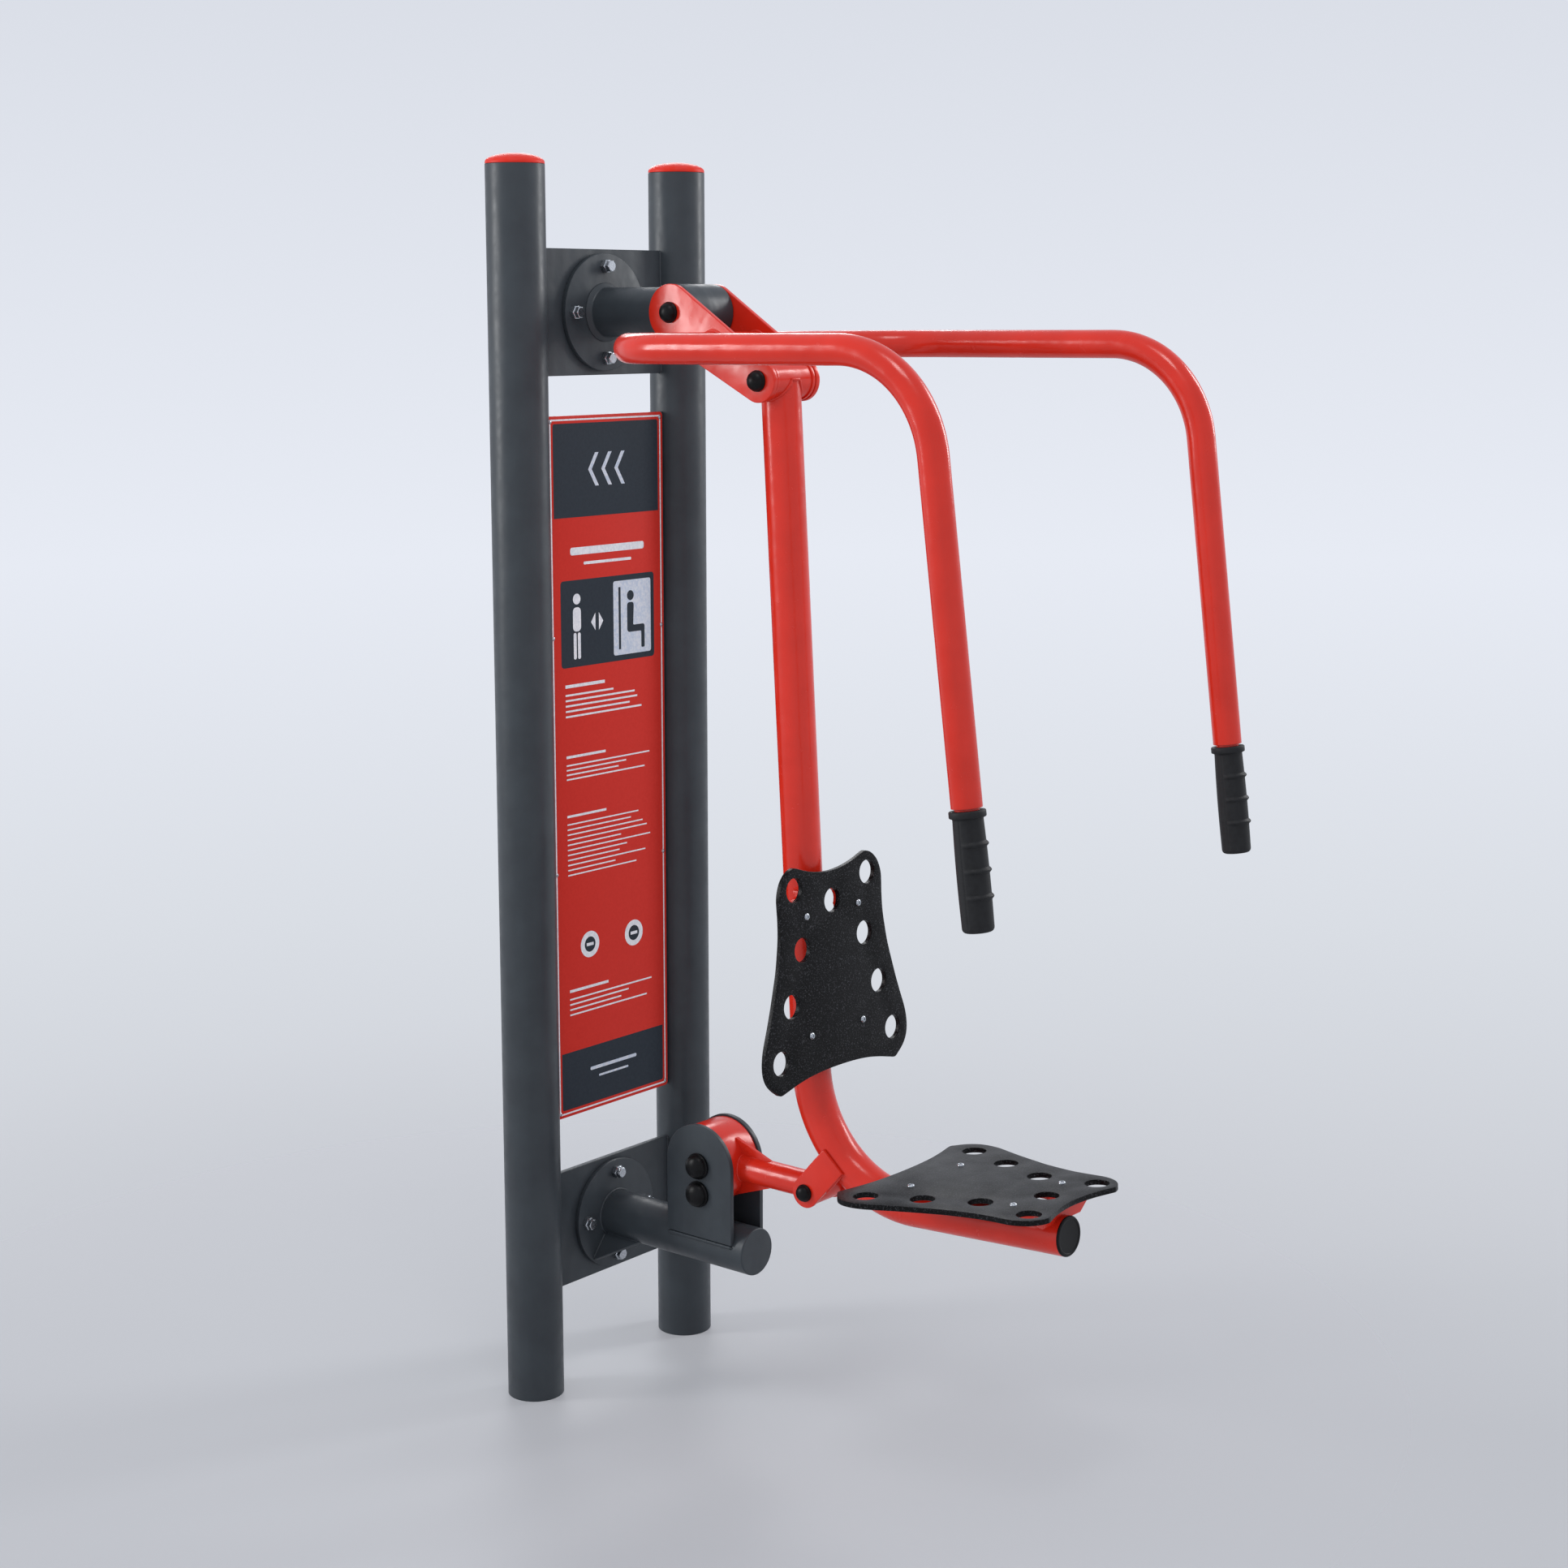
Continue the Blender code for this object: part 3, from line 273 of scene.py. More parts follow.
def fillet(points, radii, steps=8, closed=False):
    """Path through the points with an arc at each corner: the arc's centre lies on the corner's bisector
    at radius / sin(half angle). Returns positions and unit directions."""
    p = np.asarray(points, float)
    n = len(p)
    radii = np.broadcast_to(radii, n)
    out, way = [], []
    for i in range(n):
        if not closed and i in (0, n - 1):
            out.append(p[i:i + 1])
            way.append(unit(p[1] - p[0] if i == 0 else p[-1] - p[-2])[None])
            continue
        u = unit(p[i - 1] - p[i])
        v = unit(p[(i + 1) % n] - p[i])
        half = math.acos(float(np.clip(u @ v, -1.0, 1.0))) / 2.0
        r = radii[i]
        if r <= 0.0 or half > STRAIGHT:
            out.append(p[i:i + 1])
            way.append(unit(v - u)[None])
            continue
        centre = p[i] + unit(u + v) * r / math.sin(half)
        w = (p[i] + u * r / math.tan(half) - centre) / r
        q = np.linspace(0.0, math.pi - 2.0 * half, steps + 1)[:, None]
        out.append(centre + r * (w * np.cos(q) - u * np.sin(q)))
        way.append(-u * np.cos(q) - w * np.sin(q))
    return np.concatenate(out), np.concatenate(way)


def spokes(axis, count):
    """Unit vectors evenly round an axis, and the way along it."""
    u, v, along = AXES[axis]
    a = angles(count)[:, None]
    return np.cos(a) * u + np.sin(a) * v, along


def turned(profile, axis, at, segs=64):
    """Surface of revolution: (radius, height) carried round the axis through at."""
    r, h = np.asarray(profile, float).T
    ring, along = spokes(axis, segs)
    return skin(np.asarray(at, float) + r[:, None, None] * ring + h[:, None, None] * along)


def sleeve(bore, radius, half, rim, at, segs=96):
    """Ring along X: a rectangle with its two outer corners rounded, turned round X."""
    corners = [(bore, -half), (radius, -half), (radius, half), (bore, half)]
    profile, _ = fillet(corners, [0.0, rim, rim, 0.0], 5)
    return turned(np.concatenate([profile, profile[:1]]), "X", at, segs)


def tube(points, way, radius, segs=40, ref=(1.0, 1.0, 1.0), loop=False):
    """Round tube along a path: at each station a circle stands across the path's direction."""
    side = unit(np.cross(way, np.asarray(ref, float)))
    other = np.cross(way, side)
    a = angles(segs)[None, :, None]
    ring = np.cos(a) * side[:, None] + np.sin(a) * other[:, None]
    grid = points[:, None] + np.broadcast_to(radius, len(points))[:, None, None] * ring
    if not loop:
        ends = np.repeat(points[[0, -1], None], segs, 1)
        grid = np.concatenate([ends[:1], grid, ends[1:]])
    return skin(grid, loop)


def rod(a, b, radius, segs=40, edge=0.0):
    """Straight round bar from a to b. Its rims are quarter circles of radius edge."""
    a, b = np.asarray(a, float), np.asarray(b, float)
    d = unit(b - a)
    q = np.linspace(0.0, QUARTER, 5 if edge > 0.0 else 1)
    deep = edge * (1.0 - np.cos(q))
    slim = radius - edge * (1.0 - np.sin(q))
    h = np.concatenate([deep, np.linalg.norm(b - a) - deep[::-1]])
    r = np.concatenate([slim, slim[::-1]])
    return tube(a + h[:, None] * d, np.repeat(d[None], len(h), 0), r, segs, X if abs(d[0]) < 0.9 else Y)


def bead(points, size, loop=True, pitch=0.0032):
    """Weld bead: a thin tube along the seam whose radius swells with each puddle,
    r (1 + 0.1 sin(2 pi s / pitch) + 0.06 sin(2 pi s / 5.3 pitch)), and tapers at an open seam's ends."""
    step = np.roll(points, -1, 0) - np.roll(points, 1, 0) if loop else np.gradient(points, axis=0)
    s = np.cumsum(np.linalg.norm(np.diff(points, axis=0, prepend=points[:1]), axis=1))
    phase = FULL * s / pitch
    r = size * (1.0 + 0.10 * np.sin(phase) + 0.06 * np.sin(phase / 5.3))
    if not loop:
        r = r * np.clip(np.minimum(s, s[-1] - s) / size, 0.25, 1.0)
    return tube(points, unit(step), r, 10, (0.577, 0.211, 0.789), loop)


def ring_of(centre, radius, axis, count=160):
    """Points on a circle round an axis."""
    return np.asarray(centre, float) + radius * spokes(axis, count)[0]


def saddle(centre, rise, along, tube_r, barrel_r, count=160):
    """Seam of a tube on a barrel that lies along X: at angle a round the tube its distance from the barrel's
    axis is sqrt(barrel_r^2 - (tube_r sin a)^2)."""
    a = angles(count)[:, None]
    lift = np.sqrt(np.clip(barrel_r ** 2 - (tube_r * np.sin(a)) ** 2, 0.0, None))
    return centre + tube_r * np.cos(a) * X + tube_r * np.sin(a) * rise + lift * along


def place(points, axes, at):
    """Plane points (u, v, w) into the model: at + u axes[0] + v axes[1] + w axes[2]."""
    return np.asarray(at, float) + points @ np.asarray(axes, float)


def anticlockwise(outline):
    """The outline, turned round when its signed area, half the sum of u dv - v du, is negative."""
    p = np.asarray(outline, float)
    n = np.roll(p, -1, 0)
    return p[::-1] if (p[:, 0] * n[:, 1] - n[:, 0] * p[:, 1]).sum() < 0.0 else p


def plate(outline, axes, at, t0, t1, edge=0.0008, holes=(), steps=4):
    """Flat plate with rounded rims from height t0 to t1 along the third of three right-handed axes. Each rim
    is its outline moved inwards by edge (1 - sin q) at depth edge (1 - cos q); the two faces are triangulated
    between the rims."""
    loops = [anticlockwise(outline)] + [anticlockwise(h)[::-1] for h in holes]
    q = np.linspace(0.0, QUARTER, steps + 1)
    back = edge * (1.0 - np.sin(q))
    deep = edge * (1.0 - np.cos(q))
    moves = np.concatenate([back, back[::-1]])
    heights = np.concatenate([t1 - deep, t0 + deep[::-1]])
    rows = len(moves)
    points, walls, rims = [], [], []
    base = 0
    for p in loops:
        before = unit(p - np.roll(p, 1, 0))
        after = unit(np.roll(p, -1, 0) - p)
        mean = unit(before + after)
        lean = np.clip(np.einsum("ij,ij->i", mean, after), 0.4, 1.0)
        out = np.stack([mean[:, 1], -mean[:, 0]], 1) / lean[:, None]
        ring = p - moves[:, None, None] * out
        tall = np.broadcast_to(heights[:, None, None], (rows, len(p), 1))
        points.append(np.dstack([ring, tall]).reshape(-1, 3))
        ids = base + np.arange(rows * len(p)).reshape(rows, -1)
        rims.append(ids)
        nxt = np.roll(ids, -1, 1)
        walls.append(np.stack([ids[:-1], ids[1:], nxt[1:], nxt[:-1]], -1).reshape(-1, 4))
        base += ids.size
    points = np.concatenate(points)
    first = np.concatenate([ids[0] for ids in rims])
    last = np.concatenate([ids[-1] for ids in rims])
    follow = np.concatenate([np.roll(ids[0], -1) for ids in rims])
    flat = points[first, :2]
    edges = np.stack([np.arange(len(first)), np.searchsorted(first, follow)], 1)
    got = delaunay_2d_cdt([tuple(p) for p in flat.tolist()], edges.tolist(), [], 2, 1e-9)
    if any(len(o) != 1 for o in got[3]):
        raise RuntimeError("A plate outline crosses itself")
    tri = np.array([o[0] for o in got[3]])[np.array(got[2])]
    # A hole is a convex loop, so the triangles with all three corners on it are the ones that fill it.
    loop = np.repeat(np.arange(len(loops)), [len(p) for p in loops])[tri]
    tri = tri[(loop[:, 0] == 0) | (loop[:, 0] != loop[:, 1]) | (loop[:, 0] != loop[:, 2])]
    a, b = (flat[tri[:, k]] - flat[tri[:, 0]] for k in (1, 2))
    tri = np.where((a[:, 0] * b[:, 1] < a[:, 1] * b[:, 0])[:, None], tri[:, ::-1], tri)
    faces = np.concatenate([first[tri], last[tri][:, ::-1]])
    return place(points, axes, at), np.concatenate(walls), faces


def arc(u, v, radius, a0, a1, count=32):
    """Plane points (u + radius cos a, v + radius sin a) for angles from a0 to a1."""
    a = np.linspace(a0, a1, count)
    return np.stack([u + radius * np.cos(a), v + radius * np.sin(a)], 1)


def circle(u, v, radius, count=48):
    """An arc of a full turn, without its last point, which repeats the first."""
    return arc(u, v, radius, 0.0, FULL, count + 1)[:-1]


def rectangle(u0, u1, v0, v1, corner=0.0):
    """Rectangle with one radius at all corners, or four from (u0, v0) anticlockwise."""
    points = [(u0, v0), (u1, v0), (u1, v1), (u0, v1)]
    return fillet(points, corner, 6, closed=True)[0] if np.any(corner) else np.array(points)


def smooth_closed(points, per=8):
    """Closed Catmull-Rom curve: cubic through every point with end slopes (next - previous) / 2."""
    p = np.asarray(points, float)
    a, b, c, d = (np.roll(p, k, 0)[:, None] for k in (1, 0, -1, -2))
    t = np.linspace(0.0, 1.0, per, endpoint=False)[None, :, None]
    curve = 0.5 * (2.0 * b + (c - a) * t + (2.0 * a - 5.0 * b + 4.0 * c - d) * t ** 2
                   + (3.0 * b - a - 3.0 * c + d) * t ** 3)
    return curve.reshape(-1, 2)


def hexagon(at, axis, radius, height, start=0.0, segs=72):
    """Hex head: the distance to its side at angle a is r cos 30 / cos(a mod 60 - 30), and its top is cut
    by a 30 degree cone from nine tenths of the flats outwards."""
    a = angles(segs)
    flats = radius * math.cos(math.pi / 6.0)
    rho = flats / np.cos(np.mod(a, math.pi / 3.0) - math.pi / 6.0)
    rim = 0.9 * flats
    drop = (rho - rim) * math.tan(math.pi / 6.0)
    none = np.zeros(segs)
    r = np.stack([none, none + rim, rho, rho, none])
    h = np.stack([none + height, none + height, height - drop, none, none]) + start
    ring, along = spokes(axis, segs)
    return skin(np.asarray(at, float) + r[..., None] * ring + h[..., None] * along)


def dome(at, side, size, lip=0.0012, segs=48):
    """Screw cap along X, of (radius, rim, height): a short rim, a step of lip, then a quarter ellipse up to
    the crown."""
    radius, rim, height = size
    q = np.linspace(0.0, QUARTER, 12)[1:]
    skirt = [(0.0, 0.0), (radius - 0.0004, 0.0), (radius, 0.0004), (radius, rim - lip), (radius - lip, rim)]
    crown = np.stack([(radius - lip) * np.cos(q), rim + (height - rim) * np.sin(q)], 1)
    return turned(np.concatenate([skirt, crown]) * [1.0, side], "X", at, segs)


def combined(shapes):
    """Several shapes as one, and the material number of each of its faces."""
    v, q, t, mq, mt = [], [], [], [], []
    base = 0
    for shape in shapes:
        shape, mat = shape if isinstance(shape[0], tuple) else (shape, 0)
        v.append(shape[0])
        q.append(shape[1] + base)
        t.append(shape[2] + base)
        mq.append(np.full(len(shape[1]), mat))
        mt.append(np.full(len(shape[2]), mat))
        base += len(shape[0])
    return (np.concatenate(v), np.concatenate(q), np.concatenate(t)), np.concatenate(mq + mt)


def piece(name, shapes, body, slot, replaces=(), sharp=40.0, finishes=()):
    """Makes one object of the shapes, rides it on its body and lets it stand for the frame's nodes."""
    if name in bpy.data.objects:
        raise RuntimeError("The piece %s is already there" % name)
    (v, q, t), numbers = combined(shapes)
    me = bpy.data.meshes.new(name)
    me.from_pydata(v.tolist(), [], q.tolist() + t.tolist())
    for key in finishes or (slot,):
        me.materials.append(finish(key))
    me.polygons.foreach_set("material_index", numbers.astype(np.int32))
    me.shade_smooth()
    me.set_sharp_from_angle(angle=math.radians(sharp))
    if me.validate():
        raise RuntimeError("The mesh of %s has faulty faces" % name)
    ob = bpy.data.objects.new(name, me)
    bpy.context.scene.collection.objects.link(ob)
    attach(ob, body)
    if replaces:
        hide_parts(*replaces)


def stand_in(node, shapes, body, slot, sharp=40.0):
    """A finished piece for one node of the frame."""
    piece("finished_" + node, shapes, body, slot, [node], sharp)


# Materials.

NOISE = "ShaderNodeTexNoise"


def linear(code):
    """sRGB hex to linear RGBA: c / 12.92 up to 0.04045, else ((c + 0.055) / 1.055) ^ 2.4."""
    c = np.array([int(code[i:i + 2], 16) for i in (1, 3, 5)]) / 255.0
    c = np.where(c <= 0.04045, c / 12.92, ((c + 0.055) / 1.055) ** 2.4)
    return (*c.tolist(), 1.0)


def add(tree, kind, inputs=None, **settings):
    """Adds a node: settings are its own properties, and inputs are values or sockets to link."""
    n = tree.nodes.new(kind)
    for key, value in settings.items():
        setattr(n, key, value)
    for key, value in (inputs or {}).items():
        if isinstance(value, bpy.types.NodeSocket):
            tree.links.new(value, n.inputs[key])
        else:
            n.inputs[key].default_value = value
    return n


def begin(name, **values):
    """New material with its shader's constants, its tree and its object coordinates."""
    m = bpy.data.materials.new(name)
    m.use_nodes = True
    tree = m.node_tree
    tree.nodes.clear()
    shader = add(tree, "ShaderNodeBsdfPrincipled", {k.replace("_", " "): v for k, v in values.items()})
    add(tree, "ShaderNodeOutputMaterial", {"Surface": shader.outputs[0]})
    at = add(tree, "ShaderNodeTexCoord").outputs["Object"]
    return m, tree, shader, at


def pattern(tree, kind, at, size, **inputs):
    """Value of any texture whose pattern is size metres across."""
    return add(tree, kind, {"Vector": at, "Scale": 1.0 / size, **inputs}).outputs[0]


def tint(tree, shader, share, base, shade):
    """Base colour from base to shade as the share goes from 0 to 1."""
    mix = add(tree, "ShaderNodeMix", {0: share, 6: linear(base), 7: linear(shade)}, data_type="RGBA")
    tree.links.new(mix.outputs[2], shader.inputs["Base Color"])


def uneven_gloss(tree, shader, value, low, high):
    """Roughness from low to high over the middle of a pattern."""
    rough = add(tree, "ShaderNodeMapRange", {0: value, 1: 0.3, 2: 0.7, 3: low, 4: high})
    tree.links.new(rough.outputs[0], shader.inputs["Roughness"])


def relief(tree, shader, heights):
    """Bumps stacked on each other: (height, depth in metres) from fine to coarse."""
    below = {}
    for height, depth in heights:
        bump = add(tree, "ShaderNodeBump", {"Height": height, "Distance": depth, "Strength": 1.0, **below})
        below = {"Normal": bump.outputs[0]}
    tree.links.new(bump.outputs[0], shader.inputs["Normal"])


def powder_coat(name, base, shade, peel, gloss, level, draw):
    """Polyester powder coat on steel, sprayed and baked. The melt leaves faint orange peel, lets the tube's
    own long waves through, and is a semi-gloss, slightly uneven film."""
    m, tree, shader, at = begin(name, IOR=1.5, Roughness=gloss, Specular_IOR_Level=level)
    drift = pattern(tree, NOISE, at, 0.060, Detail=3.0)
    tint(tree, shader, add(tree, "ShaderNodeMapRange", {0: drift, 1: 0.35, 2: 0.65}).outputs[0], base, shade)
    uneven_gloss(tree, shader, pattern(tree, NOISE, at, 0.018, Detail=3.0), gloss - 0.05, gloss + 0.07)
    # The fine peel is 1 mm on the real film and is drawn at 3 mm so that it shows.
    fine = pattern(tree, NOISE, at, 0.0030, Detail=1.0)
    dimple = pattern(tree, NOISE, at, 0.0200, Detail=1.0)
    # Waves left by drawing the tube run along it, so they are longer upwards by the factor 1 / draw.
    drawn = add(tree, "ShaderNodeMapping", {"Vector": at, "Scale": (1.0, 1.0, draw)}, vector_type="POINT")
    wave = pattern(tree, NOISE, drawn.outputs[0], 0.0380, Detail=1.0)
    relief(tree, shader, [(fine, 0.00002 * peel), (dimple, 0.00022 * peel), (wave, 0.0011 * peel)])
    return m


def grained_sheet(name, base, painted_grain_highlight):
    """High-density polyethylene sheet with a pressed anti-slip grain. Each grain is about 1 mm and catches
    light on one side; that light is painted into the base colour as fine pale speckle on black."""
    m, tree, shader, at = begin(name, IOR=1.54, Roughness=0.36, Specular_IOR_Level=0.10)
    # Grains are drawn 2.4 mm wide, and the painted highlights of their lit sides as flecks 2 mm wide, so that they
    # show.
    cells = pattern(tree, "ShaderNodeTexVoronoi", at, 0.0024)
    grain_and_glint = pattern(tree, NOISE, at, 0.0020, Detail=1.0, Roughness=0.7)
    # Painted highlight: the flecks blend the base colour towards the colour of the grains' lit sides.
    tint(tree, shader, add(tree, "ShaderNodeMapRange", {0: grain_and_glint, 1: 0.58, 2: 0.70}).outputs[0], base, painted_grain_highlight)
    uneven_gloss(tree, shader, pattern(tree, NOISE, at, 0.030, Detail=4.0), 0.32, 0.40)
    relief(tree, shader, [(cells, 0.00012), (grain_and_glint, 0.00009)])
    return m


def clouded(name, colours, span, cloud, gloss, grain, **values):
    """Material whose one cloud, of (size, detail, roughness), drifts the colour over span and the shader's
    roughness over gloss, with a fine grain of (size, depth)."""
    m, tree, shader, at = begin(name, **values)
    value = pattern(tree, NOISE, at, cloud[0], Detail=cloud[1], Roughness=cloud[2])
    tint(tree, shader, add(tree, "ShaderNodeMapRange", {0: value, 1: span[0], 2: span[1]}).outputs[0], *colours)
    uneven_gloss(tree, shader, value, *gloss)
    relief(tree, shader, [(pattern(tree, NOISE, at, grain[0]), grain[1])])
    return m


def moulded_plastic(name, base, shade, gloss, depth):
    """Polypropylene or polyethylene, injection moulded in a lightly spark-eroded tool: a soft sheen. The
    tool's fine texture is drawn at 1.4 mm so that it shows."""
    return clouded(name, (base, shade), (0.35, 0.65), (0.015, 3.0, 0.5), (gloss - 0.03, gloss + 0.05),
                   (0.0014, depth), IOR=1.49, Roughness=gloss, Specular_IOR_Level=0.15)


def grip_rubber(name, base, shade):
    """Thermoplastic rubber, moulded: matt, slightly dusty in the hollows. Its skin texture is 0.8 mm on the
    real grip and is drawn at 1.2 mm so that it shows."""
    return clouded(name, (base, shade), (0.35, 0.7), (0.008, 4.0, 0.6), (0.48, 0.66), (0.0012, 0.00015),
                   IOR=1.52, Roughness=0.6, Specular_IOR_Level=0.2)


def zinc_steel(name, base, shade):
    """Zinc-plated steel, cold formed: bright grey metal, with the plating's faint cloud 3 mm across."""
    return clouded(name, (base, shade), (0.3, 0.7), (0.003, 3.0, 0.5), (0.18, 0.34), (0.0015, 0.00005),
                   Metallic=1.0, Roughness=0.26)


def printed_ink(name, base, shade):
    """UV-cured ink on an aluminium composite sheet: even satin colour with a faint cloud of ink coverage."""
    return clouded(name, (base, shade), (0.35, 0.65), (0.004, 3.0, 0.5), (0.38, 0.46), (0.002, 0.00002),
                   IOR=1.5, Roughness=0.42, Specular_IOR_Level=0.15)


MAKERS = {
    "red_coat": lambda c: powder_coat(
        "red_powder_coat", c.red, c.red_deep, peel=0.9, gloss=0.21, level=0.4, draw=1.0),
    "grey_coat": lambda c: powder_coat(
        "anthracite_powder_coat", c.grey, c.grey_deep, peel=1.6, gloss=0.40, level=0.32, draw=0.25),
    "panel_black": lambda c: grained_sheet("grained_polyethylene_sheet", c.sheet, c.painted_grain_highlight),
    "black_plastic": lambda c: moulded_plastic(
        "black_polypropylene", c.plastic, c.plastic_pale, gloss=0.36, depth=0.0001),
    "red_plastic": lambda c: moulded_plastic(
        "red_polyethylene_cap", c.cap, c.red, gloss=0.40, depth=0.00004),
    "grip_rubber": lambda c: grip_rubber("thermoplastic_rubber", c.rubber, c.rubber_pale),
    "zinc_steel": lambda c: zinc_steel("zinc_plated_steel", c.zinc, c.zinc_dull),
    "sign_print": lambda c: printed_ink("printed_red_field", c.sign, c.sign_deep),
    "sign_back": lambda c: printed_ink("sheet_back_lacquer", c.sign_back, c.sign_back),
    "ink_dark": lambda c: printed_ink("printed_slate", c.slate, c.slate_deep),
    "ink_pale": lambda c: printed_ink("printed_pale", c.pale, c.pale_deep),
    "ink_blue": lambda c: printed_ink("printed_pale_blue", c.pale_blue, c.pale_deep),
}
FINISHES = {}


def finish(key):
    """A finish, made on its first use."""
    if key not in FINISHES:
        FINISHES[key] = MAKERS[key](bpy.context.scene.press_colours)
    return FINISHES[key]


# Pieces.

def make_posts():
    """Posts: a wall with rounded rims turned round Z. Caps: plug, skirt, lip and a quarter ellipse crown."""
    foot, top = 0.0, POST.hi[2]
    wall, _ = fillet([(POST_BORE, foot), (POST_R, foot), (POST_R, top), (POST_BORE, top)],
                     [0.0, POST_RIM, POST_RIM, 0.0], 4)
    wall = np.concatenate([wall, wall[:1]])
    base = top + GAP
    q = np.linspace(0.0, QUARTER, 24)
    for side, tag in SIDES:
        at = (side * POST_X, 0.0, 0.0)
        stand_in("post_" + tag, [turned(wall, "Z", at, 96)], "frame", "grey_coat")
        cap = Extent("post_cap_" + tag)
        inner = POST_BORE - CAP_EDGE
        skirt = [(0.0, cap.lo[2]), (inner, cap.lo[2]), (inner, base), (CAP_R - CAP_EDGE, base),
                 (CAP_R, base + CAP_EDGE)]
        rise = cap.hi[2] - base - CAP_LIP
        crown = np.stack([CAP_R * np.cos(q), base + CAP_LIP + rise * np.sin(q)], 1)
        crown[-1, 0] = 0.0
        shape = turned(np.concatenate([skirt, crown]), "Z", at, 96)
        stand_in("post_cap_" + tag, [shape], "frame", "red_plastic")


def flange(z):
    """Round plate in front of the cross plate: a rectangle with its two rim corners rounded, turned round Y."""
    corners = [(0.0, CROSS_FACE), (FLANGE_R, CROSS_FACE), (FLANGE_R, FLANGE_FACE), (0.0, FLANGE_FACE)]
    profile, _ = fillet(corners, [0.0, FLANGE_RIM, FLANGE_RIM, 0.0], 4)
    return turned(profile, "Y", (0.0, 0.0, z), 96)


def bolt(x, z):
    """Head on its nut in front, nut behind, and the shank between them."""
    front = (x, -FLANGE_FACE - GAP, z)
    back = (x, CROSS_FACE, z)
    shank = rod((x, 0.0, z), (x, CROSS_FACE + SHANK_OUT, z), SHANK_R, 24, SHANK_EDGE)
    return [hexagon(front, "Y", NUT_R, NUT_H), hexagon(front, "Y", BOLT_HEAD_R, BOLT_HEAD_H, NUT_H),
            hexagon(back, "-Y", NUT_R, NUT_H), shank]


def make_brackets(sizes):
    """Brackets: flange and tube are profiles turned round Y, the housing one turned round X, and the gussets
    flat plates under the lower tube."""
    weld = sizes.weld
    # Upper: flange, tube with its fillet weld, and the bearing housing.
    tube_end = -(HOUSING_Y + 0.020)
    foot = np.array(FILLET) * [FILLET_WIDTH, 1.0] + [TUBE_R, 0.0]
    profile = np.concatenate([[(0.0, TUBE_FOOT)], foot, [(TUBE_R, tube_end), (0.0, tube_end)]])
    profile, _ = fillet(profile, FILLET_SOFT, 4)
    shapes = [
        flange(UPPER_Z), turned(profile, "Y", (0.0, 0.0, UPPER_Z), 96),
        sleeve(HOUSING_BORE, HOUSING_R, HOUSING_HALF, SLEEVE_RIM, HOUSING_AT),
        bead(saddle(HOUSING_AT, Z, Y, TUBE_R, HOUSING_R, 200), weld),
    ]
    stand_in("upper_bracket", shapes, "frame", "grey_coat")
    # Lower: flange, tube with its end plate, and two gussets.
    end = -Extent("lower_bracket").lo[1]
    corners = [(0.0, TUBE_FOOT), (TUBE_R, TUBE_FOOT), (TUBE_R, end), (0.0, end)]
    profile, _ = fillet(corners, [0.0, 0.0, TUBE_RIM, 0.0], 6)
    at = (0.0, 0.0, LOWER_Z)
    shapes = [flange(LOWER_Z), turned(profile, "Y", at, 96)]
    shapes.append(bead(ring_of((0.0, -FLANGE_FACE, LOWER_Z), TUBE_R + 0.0006, "Y"), weld * 0.9))
    gusset, _ = fillet(GUSSET, GUSSET_SOFT, 4, closed=True)
    for side, _ in SIDES:
        d = np.array([side * math.cos(GUSSET_ANGLE), 0.0, -math.sin(GUSSET_ANGLE)])
        axes = (d, -Y, np.cross(d, -Y))
        shapes.append(plate(gusset, axes, at, -RIB_HALF, RIB_HALF, RIB_RIM))
        for w in (-RIB_HALF, RIB_HALF):
            along = [(u, FLANGE_FACE, w) for u in GUSSET_FOOT], [(TUBE_R, v, w) for v in GUSSET_ROOT]
            for ends, count in zip(along, (60, 90)):
                a, b = place(np.array(ends), axes, at)
                shapes.append(bead(np.linspace(a, b, count), weld * 0.7, loop=False))
    stand_in("lower_bracket", shapes, "frame", "grey_coat")
    # Upright seams of the cross plates against the posts.
    seams = []
    for z in (UPPER_Z, LOWER_Z):
        for side, _ in SIDES:
            for y in (-CROSS_SEAM_Y, CROSS_SEAM_Y):
                ends = [(side * CROSS_SEAM_X, y, z + s * CROSS_SEAM_HALF) for s in (-1.0, 1.0)]
                seams.append(bead(np.linspace(*ends, 120), weld * 0.8, loop=False))
    piece("cross_plate_welds", seams, "frame", "grey_coat")
    for z, tag in ((UPPER_Z, "upper"), (LOWER_Z, "lower")):
        for k, (sx, sz) in enumerate(((0.0, 1.0), (-1.0, 0.0), (0.0, -1.0), (1.0, 0.0))):
            shapes = bolt(sx * BOLT_RING, z + sz * BOLT_RING)
            stand_in("%s_bolt_%d" % (tag, k + 1), shapes, "frame", "zinc_steel", 25.0)


